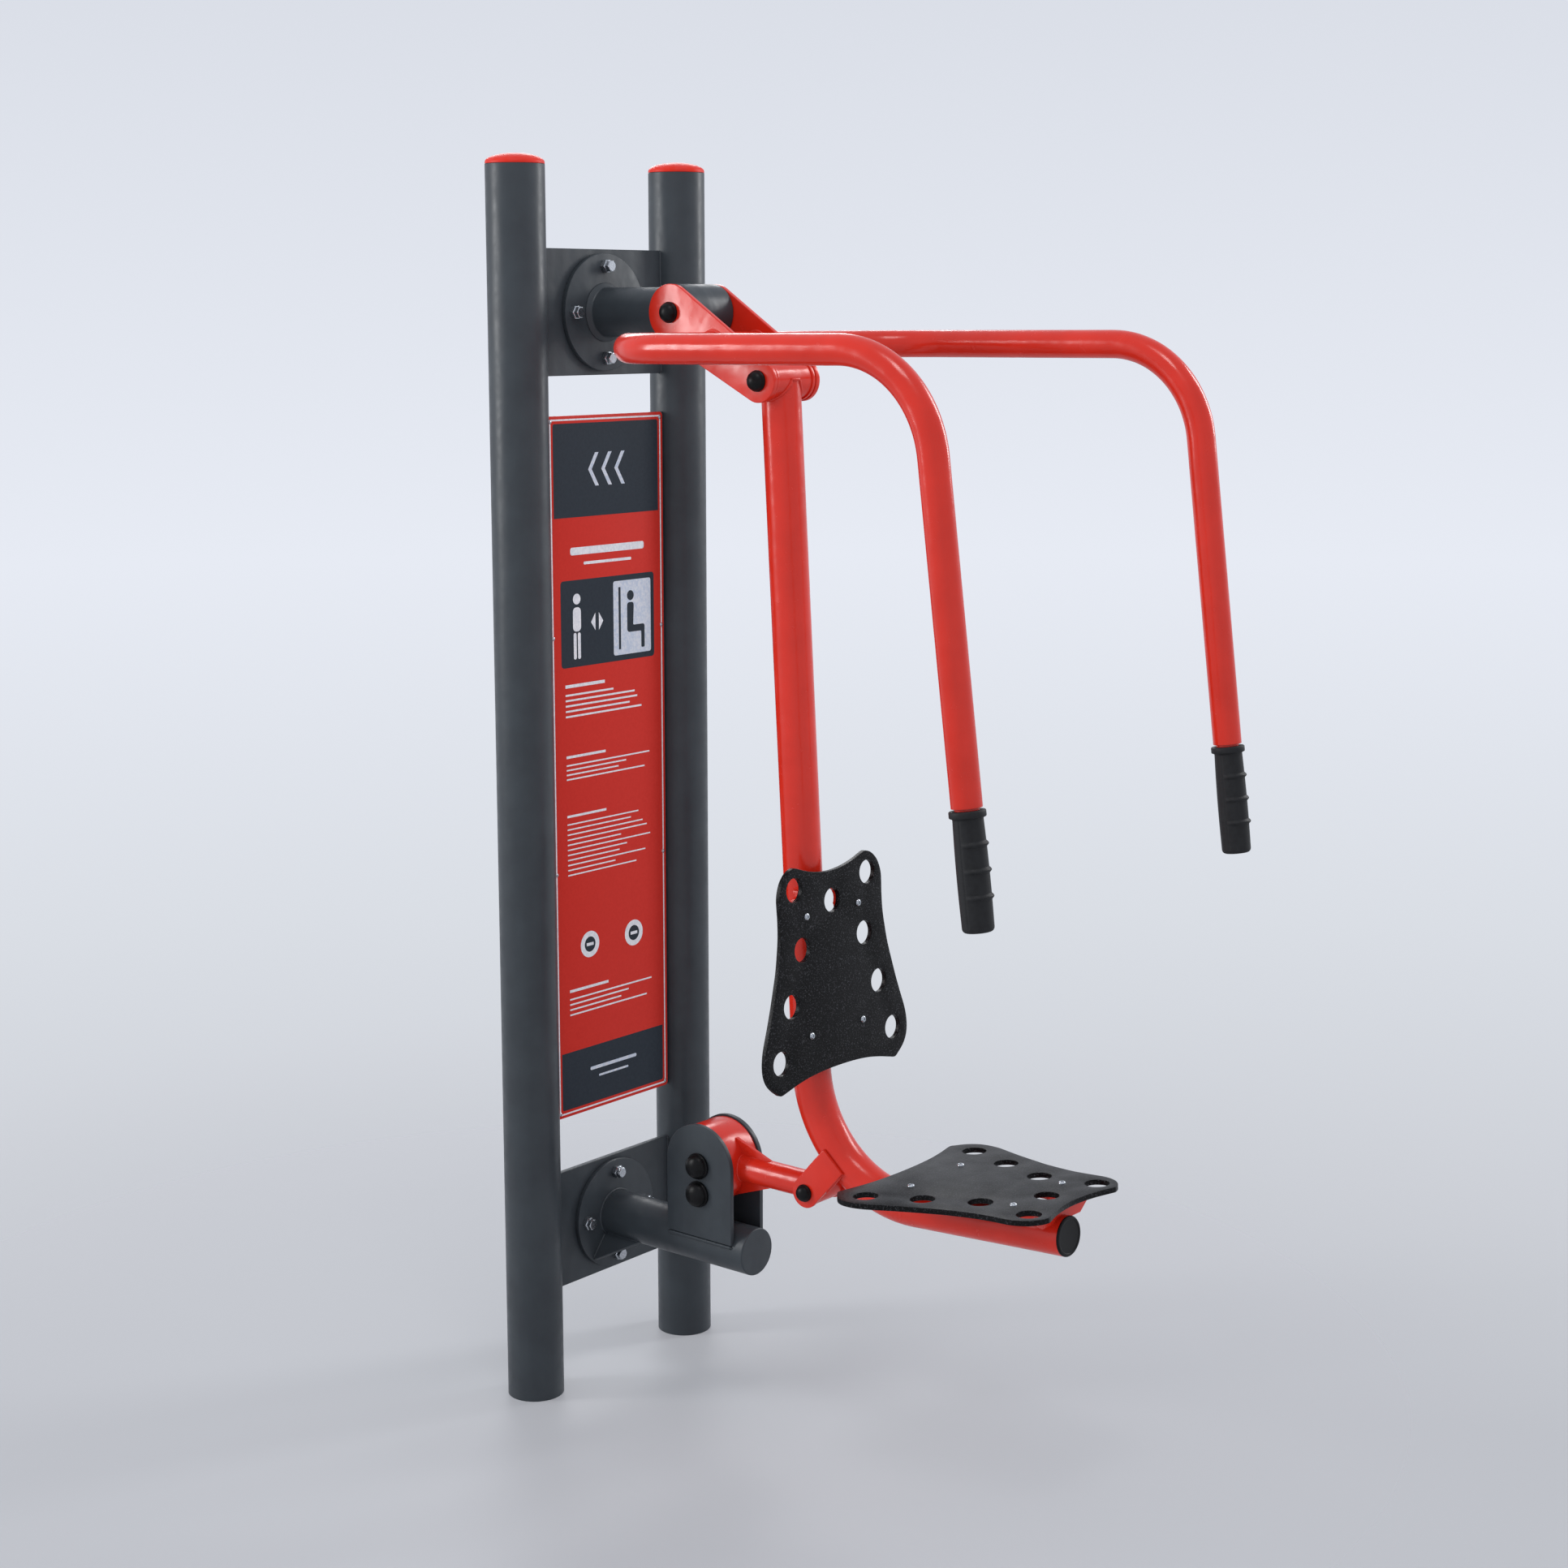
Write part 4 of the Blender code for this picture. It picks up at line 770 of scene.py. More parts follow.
def make_clevis(sizes):
    """Clevis plates: a half circle round the hinge on straight sides down to the tube, and their domed caps."""
    low = CLEVIS_FOOT - HINGE[2]
    outline = np.concatenate([[(-CLEVIS_R, low), (CLEVIS_R, low)], arc(0.0, 0.0, CLEVIS_R, 0.0, math.pi, 64)])
    seam_z = LOWER_Z + math.sqrt(TUBE_R ** 2 - CLEVIS_SEAM_DROP ** 2) + 0.001
    for side, tag in SIDES:
        node = Extent("clevis_plate_" + tag)
        ends = [(side * CLEVIS_SEAM_X, HINGE[1] + s * CLEVIS_R, seam_z) for s in (-1.0, 1.0)]
        shapes = [plate(outline, (Y, Z, X), HINGE_AT, node.lo[0], node.hi[0], 0.0010),
                  bead(np.linspace(*ends, 160), sizes.weld * 1.15, loop=False)]
        stand_in("clevis_plate_" + tag, shapes, "frame", "grey_coat")
        for k, drop in enumerate((0.0, STUD_DROP)):
            cap = dome((side * CORE_CAP_X, HINGE[1], HINGE[2] - drop), side, CORE_CAP, 0.0014, 64)
            stand_in("core_cap_%s_%d" % (tag, k + 1), [cap], "frame", "black_plastic")


def make_upper_link(sizes):
    """Link plates: two arcs joined by their common tangents, which touch them at angle acos((r1 - r2) / length).
    Handlebar: crossbar, forward runs and drops, then the thinner neck inside each grip."""
    length = np.linalg.norm(LINK_RUN)
    ux = LINK_RUN / length
    big, small = LINK_R
    lean = math.acos((big - small) / length)
    outline = np.concatenate([arc(0.0, 0.0, big, lean, FULL - lean, 80), arc(length, 0.0, small, -lean, lean, 60)])
    bar_at = HOUSING_AT + LINK_RUN / 2.0
    for side, tag in SIDES:
        outer, inner = (np.array([side * x, bar_at[1], bar_at[2]]) for x in (LINK_OUT, LINK_IN))
        x0, x1 = sorted((outer[0], inner[0]))
        shapes = [plate(outline, (ux, np.cross(X, ux), X), HOUSING_AT, x0, x1, LINK_RIM),
                  bead(ring_of(outer, BAR_R + 0.0012, "X"), sizes.weld * 1.2),
                  bead(ring_of(inner, BAR_R + 0.0006, "X"), sizes.weld * 0.9)]
        stand_in("link_plate_" + tag, shapes, "upper_link", "red_coat")
        for key, spot in (("upper_axle_cap_", HOUSING_AT), ("seat_axle_cap_", PIVOT)):
            cap = dome((side * (LINK_OUT + GAP), spot[1], spot[2]), side, AXLE_CAP)
            stand_in(key + tag, [cap], "upper_link", "black_plastic")
    points, way = fillet([bar_at, bar_at + BAR_X * X, BAR_CORNER, BAR_END], BAR_BENDS, 40)
    drop = way[-1]
    # Rim of the bar's mouth, then the neck: (distance past the bar's end, radius).
    mouth = np.array([(-BAR_RIM, BAR_R), (-BAR_RIM / 4.0, BAR_R - BAR_RIM / 4.0), (0.0, BAR_R - BAR_RIM),
                      (0.0, NECK_R), (NECK_LEN, NECK_R)])
    run = points[1:-1]
    points = np.concatenate([run, BAR_END + mouth[:, :1] * drop])
    way = np.concatenate([way[1:-1], np.repeat(drop[None], len(mouth), 0)])
    radius = np.concatenate([np.full(len(run), BAR_R), mouth[:, 1]])
    mirror = np.array([-1.0, 1.0, 1.0])
    points = np.concatenate([points[::-1] * mirror, points])
    way = np.concatenate([-way[::-1] * mirror, way])
    radius = np.concatenate([radius[::-1], radius])
    stand_in("handlebar", [tube(points, way, radius, 48)], "upper_link", "red_coat")
    for side, tag in SIDES:
        stand_in("grip_" + tag, [grip(side, drop, sizes.rib)], "upper_link", "grip_rubber", 50.0)


def grip(side, drop, rib):
    """Grip: radius at height h and angle a from its front is the tapered body with a slight belly, plus three
    finger ribs cos-shaped along h that fade to nothing at the side seams, less a fine groove at each seam."""
    body = np.arange(0.0115, GRIP_LEN - 0.0065, 0.0009)
    h = np.concatenate([[COLLAR_NECK[0]], body])
    r = GRIP_R + GRIP_FLARE * h / GRIP_LEN + GRIP_FLARE * np.sin(math.pi * h / GRIP_LEN)
    r[0] += COLLAR_NECK[1]
    q = np.linspace(0.1, QUARTER, 8)
    collar_h, collar_r = np.array(COLLAR).T
    heights = np.concatenate([collar_h, h, GRIP_LEN - GRIP_END * (1.0 - np.sin(q)), [GRIP_LEN]])
    radii = np.concatenate([COLLAR_R + collar_r, r, r[-1] - GRIP_END_IN * (1.0 - np.cos(q)), [0.0]])
    ribbed = ((heights >= body[0]) & (heights <= body[-1]))[:, None]
    a = angles(96)
    gaps = np.abs(heights[:, None] - FINGER_FIRST - FINGER_PITCH * np.arange(3)) / FINGER_HALF
    ribs = np.where(gaps < 1.0, 0.5 + 0.5 * np.cos(math.pi * gaps), 0.0) ** 0.7
    face = np.clip(np.cos(a), 0.0, 1.0)
    fade = np.minimum(1.0, face * 2.2) * (0.55 + 0.45 * face)
    seam_width, seam_depth = GRIP_SEAM
    seam = np.exp(-(np.cos(a) / seam_width) ** 2) * seam_depth
    surface = radii[:, None] + ribbed * (rib * ribs.sum(1)[:, None] * fade - seam)
    front = unit(-Y + drop * (Y @ drop))
    ring = np.cos(a)[:, None] * front + np.sin(a)[:, None] * X
    at = BAR_END * np.array([side, 1.0, 1.0]) + drop * GRIP_START
    return skin(at + drop * heights[:, None, None] + surface[..., None] * ring)


def seat_frame(points):
    """Points of the seat frame into the model: turned by the seat's tilt about the seat pivot."""
    x, y, z = np.moveaxis(np.asarray(points, float), -1, 0)
    c, s = math.cos(SEAT_TILT), math.sin(SEAT_TILT)
    return np.stack([x, PIVOT[1] + y * c + z * s, PIVOT[2] - y * s + z * c], -1)


def tilted(shape):
    """A shape of the seat frame, its points turned into the model."""
    return seat_frame(shape[0]), shape[1], shape[2]


def make_seat_frame(sizes):
    """Hub: a tube with a ring at each end. Seat tube: its top row follows the hub, then down, round the bend
    and forward. Ears: flat bars with a round end beside the bend."""
    corners = [(HUB_BORE, -HUB_HALF), (HUB_RING_R, -HUB_HALF), (HUB_RING_R, HUB_RING_W - HUB_HALF),
               (HUB_R, HUB_RING_W - HUB_HALF)]
    corners = corners + [(r, -h) for r, h in corners[::-1]]
    hub, _ = fillet(corners, [0.0, 0.001, 0.0006, 0.0, 0.0, 0.0006, 0.001, 0.0], 4)
    hub = turned(np.concatenate([hub, hub[:1]]), "X", ORIGIN, 80)
    seam = bead(saddle(ORIGIN, Y, -Z, SEAT_R, HUB_R, 200), sizes.weld)
    stand_in("seat_hub", [tilted(hub), tilted(seam)], "seat_frame", "red_coat")
    corners = [(0.0, 0.0, -0.035), (0.0, 0.0, -SEAT_DOWN), (0.0, -SEAT_RUN, -SEAT_DOWN)]
    points, way = fillet(corners, [0.0, SEAT_BEND, 0.0], 48)
    a = angles(64)[None, :, None]
    body = points[:, None] + SEAT_R * (np.cos(a) * X + np.sin(a) * np.cross(way, X)[:, None])
    collar = body[0].copy()
    collar[:, 2] = 0.002 - np.sqrt(np.clip(HUB_R ** 2 - collar[:, 1] ** 2, 0.0, None))
    top = np.broadcast_to([0.0, 0.0, -0.010], collar.shape)
    tip = np.broadcast_to(points[-1], collar.shape)
    grid = np.concatenate([[top, collar], body, [tip]])
    stand_in("seat_tube", [tilted(skin(grid))], "seat_frame", "red_coat")
    plug, _ = fillet(PLUG, PLUG_SOFT, 4)
    plug = tilted(turned(plug + [0.0, SEAT_RUN], "Y", (0.0, 0.0, -SEAT_DOWN), 72))
    stand_in("seat_tube_plug", [plug], "seat_frame", "black_plastic")
    slope = unit(Z - Y)
    axes = (slope, np.cross(X, slope), X)
    round_end = arc(0.0, 0.0, EAR_R, QUARTER, 3.0 * QUARTER, 48)
    outline = np.concatenate([round_end, [(EAR_LEN, -EAR_R), (EAR_LEN, EAR_R)]])
    for side, tag in SIDES:
        x0, x1 = sorted((side * EAR_IN, side * (EAR_IN + EAR_T)))
        shapes = [tilted(plate(outline, axes, EYE, x0, x1, 0.0010))]
        for v in (-EAR_R, EAR_R):
            a, b = place(np.array([(u, v, side * EAR_IN) for u in (EAR_SEAM, EAR_LEN)]), axes, EYE)
            shapes.append(tilted(bead(np.linspace(a, b, 80), sizes.weld * 0.7, loop=False)))
        stand_in("ear_" + tag, shapes, "seat_frame", "red_coat")
        cap = tilted(dome(EYE + X * side * (EAR_IN + EAR_T + GAP), side, PIN_CAP))
        stand_in("lower_pin_cap_" + tag, [cap], "seat_frame", "black_plastic")


def make_panels(sizes):
    """Seat and back plate: one smooth outline with nine holes, and four button screws with a socket each."""
    half = np.array(OUTLINE_SHARES) * [PANEL_HALF, PANEL_LEN]
    outline = smooth_closed(np.concatenate([half, half[-2:0:-1] * [-1.0, 1.0]]), 7)
    holes = [circle(s * u * PANEL_HALF, v * PANEL_LEN, PANEL_HOLE_R) for u, v in HOLE_SHARES for s in (-1.0, 1.0)]
    holes.append(circle(0.0, MID_HOLE, PANEL_HOLE_R))
    r, h = sizes.screw, sizes.screw * 0.55
    q = np.linspace(0.0, QUARTER, 8)
    socket = [(0.0, h * 0.45), (r * 0.36, h * 0.45), (r * 0.36, h * 0.97)]
    button = np.stack([r * (0.42 + 0.58 * np.sin(q)), h * np.cos(q)], 1)
    head = turned(np.concatenate([socket, button, [(r, -0.001), (0.0, -0.001)]]), "Z", ORIGIN, 28)
    # Axes, place of the narrow row of holes, the plate's two heights, and the way its screws face.
    back = ((X, -Z, Y), (0.0, -PANEL_OFF, -BACK_START), 0.0, PANEL_T, -1.0)
    seat = ((X, Y, Z), (0.0, -SEAT_START, PANEL_OFF - SEAT_DOWN), -PANEL_T, 0.0, 1.0)
    for tag, (axes, at, t0, t1, out) in (("backrest", back), ("seat", seat)):
        shape = tilted(plate(outline, axes, at, t0, t1, sizes.edge, holes))
        stand_in(tag + "_plate", [shape], "seat_frame", "panel_black")
        points, quads, tris = head
        screws = [tilted(outward((place(points * [1.0, 1.0, out] + [u, v, 0.0], axes, at), quads, tris)))
                  for u, v in SCREWS]
        piece(tag + "_screws", screws, "seat_frame", "zinc_steel", sharp=30.0)


def make_lower_link(sizes):
    """Hub shell, arm, eye and two fins. The eye is a cross tube with the pin's bore."""
    reach = (PIN - HINGE) * [0.0, 1.0, 1.0]
    length = float(np.linalg.norm(reach))
    along = reach / length
    rise = np.cross(along, X)
    rise = rise if rise[2] > 0.0 else -rise
    eye_at = HINGE_AT + along * length
    shapes = [
        sleeve(SHELL_BORE, SHELL_R, SHELL_HALF, 0.0014, HINGE_AT),
        rod(HINGE_AT + along * (SHELL_R - 0.004), HINGE_AT + along * (length - 0.012), ARM_R, 56),
        bead(saddle(HINGE_AT, rise, along, ARM_R, SHELL_R), sizes.weld * 0.7),
        sleeve(EYE_BORE, EYE_R, EYE_HALF, SLEEVE_RIM, eye_at, 72),
        bead(saddle(eye_at, rise, -along, ARM_R, EYE_R), sizes.weld * 0.8),
    ]
    cos, sin = math.cos(FIN_ANGLE), math.sin(FIN_ANGLE)
    fin = np.array([(FIN_IN * cos, FIN_IN * sin), (SHELL_R * cos + 0.003, SHELL_R * sin),
                    (SHELL_R + 0.053, ARM_R + 0.0006), (SHELL_R + 0.0548, 0.0163), (FIN_IN, 0.0163)])
    axes = (along, rise, np.cross(along, rise))
    for side, _ in SIDES:
        shapes.append(plate(fin * [1.0, side], axes, HINGE_AT, -RIB_HALF, RIB_HALF, RIB_RIM))
    stand_in("lower_link", shapes, "lower_link_body", "red_coat")


def make_sign_board():
    """Board with a thin plain lining on its back."""
    skirt = 0.0005
    board = rectangle(-SIGN_HALF, SIGN_HALF, SIGN_LOW, SIGN_HIGH, 0.006)
    board = plate(board, SIGN_AXES, ORIGIN, SIGN_REAR, SIGN_FRONT, 0.0004)
    lining = rectangle(skirt - SIGN_HALF, SIGN_HALF - skirt, SIGN_LOW + skirt, SIGN_HIGH - skirt, 0.0055)
    lining = plate(lining, SIGN_AXES, ORIGIN, SIGN_REAR - 0.0001, SIGN_REAR + skirt, 0.00003, steps=1)
    piece("finished_sign_board", [board, (lining, 1)], "frame", "sign_print", ["sign_board"],
          finishes=("sign_print", "sign_back"))


DARK, PALE, BLUE = 0, 1, 2

# Print of the sign: (u0, u1, v0, v1, corner radius, ink, layer).
SIGN_BARS = [
    # Two bars in the foot block, and the heading bars.
    (-0.055, 0.055, 0.512, 0.5175, 0.0024, BLUE, 2), (-0.035, 0.035, 0.498, 0.5015, 0.0015, BLUE, 2),
    (-0.085, 0.085, 1.350, 1.362, 0.004, PALE, 1), (-0.055, 0.055, 1.334, 1.3385, 0.002, PALE, 1),
    # Picture field, the standing figure's body and legs, the pale card and the upright on it.
    (-0.108, 0.108, 1.174, 1.311, 0.006, DARK, 1),
    (-0.081, -0.063, 1.230, 1.268, 0.007, PALE, 2),
    (-0.0800, -0.0735, 1.186, 1.228, 0.003, PALE, 2), (-0.0705, -0.0640, 1.186, 1.228, 0.003, PALE, 2),
    (0.012, 0.100, 1.183, 1.302, 0.004, BLUE, 2), (0.024, 0.029, 1.192, 1.292, 0.001, DARK, 3),
]
# Round marks: (u, v, radius, points, ink, layer). Heads of the figures, then two rings.
SIGN_ROUNDS = [
    (-0.072, 1.281, 0.0085, 32, PALE, 2), (0.052, 1.277, 0.0080, 32, DARK, 3),
    (-0.052, 0.722, 0.0215, 48, PALE, 1), (-0.052, 0.722, 0.0125, 40, DARK, 2),
    (0.052, 0.722, 0.0215, 48, PALE, 1), (0.052, 0.722, 0.0125, 40, DARK, 2),
]
SEATED = [(0.044, 1.266), (0.060, 1.266), (0.058, 1.229), (0.085, 1.229), (0.085, 1.191), (0.077, 1.191),
          (0.077, 1.218), (0.044, 1.218)]
SEATED_SOFT = [0.005, 0.005, 0.002, 0.004, 0.002, 0.002, 0.002, 0.005]
CHEVRON = np.array([(-0.012, 1.482), (0.004, 1.508), (0.012, 1.508), (-0.004, 1.482), (0.012, 1.456), (0.004, 1.456)])
ARROW = np.array([(0.014, 0.0), (0.004, 0.014), (0.004, -0.014)])
ARROWS_AT = (-0.026, 1.242)
# Groups of plain bars: (top, count, pitch, height of a bar), and the bars' lengths in turn.
SIGN_ROWS = ((1.132, 5, 0.0085, 0.0030), (1.020, 4, 0.0075, 0.0024), (0.925, 11, 0.0082, 0.0022),
             (0.640, 4, 0.0085, 0.0026))
ROW_SHARES = (0.83, 0.62, 0.91, 0.74, 0.97, 0.55, 0.88, 0.69, 0.80, 0.93, 0.60)
ROW_LEFT = -0.100
ROW_LEN = 0.200
ROW_HEADING = 0.090


def ink(outline, number, layer=1):
    """One printed area: a film over the board's face, each layer a little above the one below."""
    top = SIGN_FRONT + 0.00012 * layer
    return plate(outline, SIGN_AXES, ORIGIN, SIGN_FRONT - 0.0005, top, 0.00003, steps=1), number


def make_sign():
    """Sign: the board, its print as flat outlines in the plane of its face, and its small screws."""
    make_sign_board()
    marks = []
    # Pale line round the edge.
    wide, inset = 0.0026, 0.0048
    side, low, high = SIGN_HALF - inset, SIGN_LOW + inset, SIGN_HIGH - inset
    for box in ((-side, side, low, low + wide), (-side, side, high - wide, high),
                (-side, wide - side, low + wide, high - wide), (side - wide, side, low + wide, high - wide)):
        marks.append(ink(rectangle(*box), PALE))
    # Dark blocks at the head and foot, with their outer corners rounded.
    margin, corner = 0.0117, 0.004
    side = SIGN_HALF - margin
    marks.append(ink(rectangle(-side, side, 1.409, SIGN_HIGH - margin, [0.0, 0.0, corner, corner]), DARK))
    marks.append(ink(rectangle(-side, side, SIGN_LOW + margin, 0.552, [corner, corner, 0.0, 0.0]), DARK))
    for u in (-0.030, 0.0, 0.030):
        marks.append(ink(CHEVRON + [u, 0.0], BLUE, 2))
    marks += [ink(rectangle(*bar[:5]), *bar[5:]) for bar in SIGN_BARS]
    marks += [ink(circle(*mark[:4]), *mark[4:]) for mark in SIGN_ROUNDS]
    marks += [ink(ARROW * [s, 1.0] + ARROWS_AT, PALE, 2) for s in (-1.0, 1.0)]
    marks.append(ink(fillet(SEATED, SEATED_SOFT, 5, closed=True)[0], DARK, 3))
    marks += [ink(rectangle(u - 0.008, u + 0.008, 0.7195, 0.7245), PALE, 3) for u in (-0.052, 0.052)]
    for z, count, pitch, tall in SIGN_ROWS:
        marks.append(ink(rectangle(ROW_LEFT, ROW_LEFT + ROW_HEADING, z + 0.010, z + 0.010 + tall * 1.7), PALE))
        for k in range(count):
            end = ROW_LEFT + ROW_LEN * ROW_SHARES[(k * 3 + count) % len(ROW_SHARES)]
            marks.append(ink(rectangle(ROW_LEFT, end, z - pitch * k - tall, z - pitch * k), PALE))
    piece("sign_artwork", marks, "frame", "sign_print", finishes=("ink_dark", "ink_pale", "ink_blue"))
    # Small domed screws: a quarter ellipse turned round Y.
    q = np.linspace(0.0, QUARTER, 8)
    radius, tall, sunk = 0.0032, 0.0016, 0.0006
    head = np.concatenate([[(0.0, -sunk), (radius, -sunk)], np.stack([radius * np.cos(q), tall * np.sin(q)], 1)])
    head[-1, 0] = 0.0
    screws = [turned(head, "Y", (s * 0.1255, SIGN.lo[1], z), 24)
              for z in (1.558, 1.223, 0.847, 0.454) for s in (-1.0, 1.0)]
    piece("sign_screws", screws, "frame", "zinc_steel")


CARRIED = {
    "grey_coat": ["post_foot_left", "post_foot_right", "upper_cross_plate", "lower_cross_plate", "lower_core",
                  "sign_rail_left", "sign_rail_right"],
    "red_coat": ["backrest_bracket_1", "backrest_bracket_2", "seat_bracket_1", "seat_bracket_2"],
    "black_plastic": ["upper_bearing_left", "upper_bearing_right", "seat_bearing_left", "seat_bearing_right"],
    "zinc_steel": ["upper_axle", "seat_axle", "lower_pin", "core_bolt_1", "core_bolt_2"],
}


def dress_carried():
    """Gives the nodes that stay as they are their real finish."""
    for key, names in CARRIED.items():
        for name in names:
            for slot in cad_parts[name].material_slots:
                slot.material = finish(key)


# Stage.

def floor_material(c):
    """Pale painted studio floor, rolled: satin, even, fading out to the background with distance."""
    m, tree, shader, at = begin("painted_studio_floor", IOR=1.45, Roughness=0.42, Specular_IOR_Level=0.25)
    cloud = pattern(tree, NOISE, at, 1.5)
    tint(tree, shader, cloud, c.floor, c.floor_deep)
    uneven_gloss(tree, shader, cloud, 0.40, 0.44)
    relief(tree, shader, [(pattern(tree, NOISE, at, 0.02), 0.00002)])
    away = add(tree, "ShaderNodeVectorMath", {0: at}, operation="LENGTH").outputs["Value"]
    reach = {0: away, 1: 0.4, 2: 2.3, 3: 0.25, 4: 1.0}
    fade = add(tree, "ShaderNodeMapRange", reach, interpolation_type="SMOOTHSTEP")
    clear = add(tree, "ShaderNodeBsdfTransparent")
    mixed = add(tree, "ShaderNodeMixShader", {0: fade.outputs[0], 1: shader.outputs[0], 2: clear.outputs[0]})
    out = next(n for n in tree.nodes if n.bl_idname == "ShaderNodeOutputMaterial")
    tree.links.new(mixed.outputs[0], out.inputs["Surface"])
    return m


def world_background(c, dome_light):
    """Pale studio sweep: what the camera, reflections and glass see is a colour by height of view, while
    the light on the object comes from an even dome."""
    world = bpy.data.worlds.new("studio")
    world.use_nodes = True
    tree = world.node_tree
    tree.nodes.clear()
    way = add(tree, "ShaderNodeTexCoord").outputs["Generated"]
    up = add(tree, "ShaderNodeSeparateXYZ", {0: way}).outputs["Z"]
    share = add(tree, "ShaderNodeMapRange", {0: up, 1: -0.50, 2: 0.12}).outputs[0]
    ramp = add(tree, "ShaderNodeValToRGB", {"Fac": share})
    stops = ((0.18, c.sweep_low), (0.30, c.sweep_near), (0.45, c.sweep_mid), (0.66, c.sweep_bright),
             (1.0, c.sweep_top))
    elements = ramp.color_ramp.elements
    while len(elements) < len(stops):
        elements.new(0.5)
    for element, (position, code) in zip(elements, stops):
        element.position = position
        element.color = linear(code)
    seen = add(tree, "ShaderNodeBackground", {"Color": ramp.outputs["Color"], "Strength": 1.0})
    light = add(tree, "ShaderNodeBackground", {"Color": linear(c.dome), "Strength": dome_light})
    ray = add(tree, "ShaderNodeLightPath").outputs
    either = ray["Is Camera Ray"]
    for other in ("Is Glossy Ray", "Is Transmission Ray"):
        either = add(tree, "ShaderNodeMath", {0: either, 1: ray[other]}, operation="MAXIMUM").outputs[0]
    mixed = add(tree, "ShaderNodeMixShader", {0: either, 1: light.outputs[0], 2: seen.outputs[0]})
    add(tree, "ShaderNodeOutputWorld", {"Surface": mixed.outputs[0]})
    bpy.context.scene.world = world


# Softboxes: place, target, width, height and power in watts.
SOFTBOXES = {
    "softbox_behind": ((-3.9, 3.5, 2.5), (0.0, -0.3, 1.2), 1.2, 2.4, 130.0),
    "softbox_right": ((3.7, -1.8, 2.9), (0.0, -0.3, 0.8), 0.8, 2.4, 72.0),
    "softbox_top": ((-1.2, -1.3, 4.4), (0.0, -0.3, 0.5), 0.9, 0.9, 24.0),
    "softbox_far": ((2.7, 2.7, 3.3), (0.0, -0.6, 0.5), 2.0, 0.9, 36.0),
}
CAMERA_AT = (-3.0964, -2.9098, 1.7317)
CAMERA_TURN = (79.8831, 0.025, -50.6591)
CAMERA_LENS = 61.373


def softbox(name, at, target, width, height, power):
    """Rectangular lamp turned to face its target."""
    lamp = bpy.data.lights.new(name, "AREA")
    lamp.shape = "RECTANGLE"
    lamp.size = width
    lamp.size_y = height
    lamp.energy = power
    ob = bpy.data.objects.new(name, lamp)
    bpy.context.scene.collection.objects.link(ob)
    d = unit(np.subtract(target, at))
    ob.location = at
    ob.rotation_euler = (math.acos(-d[2]), 0.0, math.atan2(-d[0], d[1]))


def make_stage(sizes, colours):
    """Round floor, background, softboxes and the camera at the photograph's viewpoint."""
    reach = np.array([0.0, 0.5, 1.5, 3.0, 4.5])
    v, q, t = skin(reach[:, None, None] * spokes("Z", 64)[0])
    me = bpy.data.meshes.new("studio_floor")
    me.from_pydata(v.tolist(), [], q.tolist() + t.tolist())
    me.materials.append(floor_material(colours))
    if me.polygons[0].normal.z < 0.0:
        me.flip_normals()
    floor = bpy.data.objects.new("studio_floor", me)
    bpy.context.scene.collection.objects.link(floor)
    world_background(colours, sizes.dome_light)
    for name, (at, target, width, height, power) in SOFTBOXES.items():
        softbox(name, at, target, width, height, power * sizes.lamps)
    lens = bpy.data.cameras.new("camera")
    lens.lens = CAMERA_LENS
    lens.sensor_width = 36.0
    camera = bpy.data.objects.new("camera", lens)
    camera.location = CAMERA_AT
    camera.rotation_euler = [math.radians(a) for a in CAMERA_TURN]
    bpy.context.scene.collection.objects.link(camera)
    bpy.context.scene.camera = camera
    bpy.context.scene.view_settings.view_transform = "Standard"


# Settings, operators and panel.

def size_property(name, about, value, **more):
    return bpy.props.FloatProperty(name=name, description=about, default=value, min=0.0, **more)


def hex_property(name, about, code):
    return bpy.props.StringProperty(name=name, description=about + ", as an sRGB hex value", default=code)


class PressSizes(bpy.types.PropertyGroup):
    weld: size_property("Weld", "Half width of a weld bead", 0.0026, unit="LENGTH")
    edge: size_property("Sheet edge", "Rounding of the seat and back plates' edges", 0.0007, unit="LENGTH")
    rib: size_property("Finger rib", "Height of the grips' finger ribs", 0.0032, unit="LENGTH")
    screw: size_property("Plate screw", "Radius of the button screws in the plates", 0.0056, unit="LENGTH")
    dome_light: size_property("Dome light", "Strength of the even light from all round", 0.84)
    lamps: size_property("Softboxes", "Strength of the four softboxes against their normal level", 1.0)


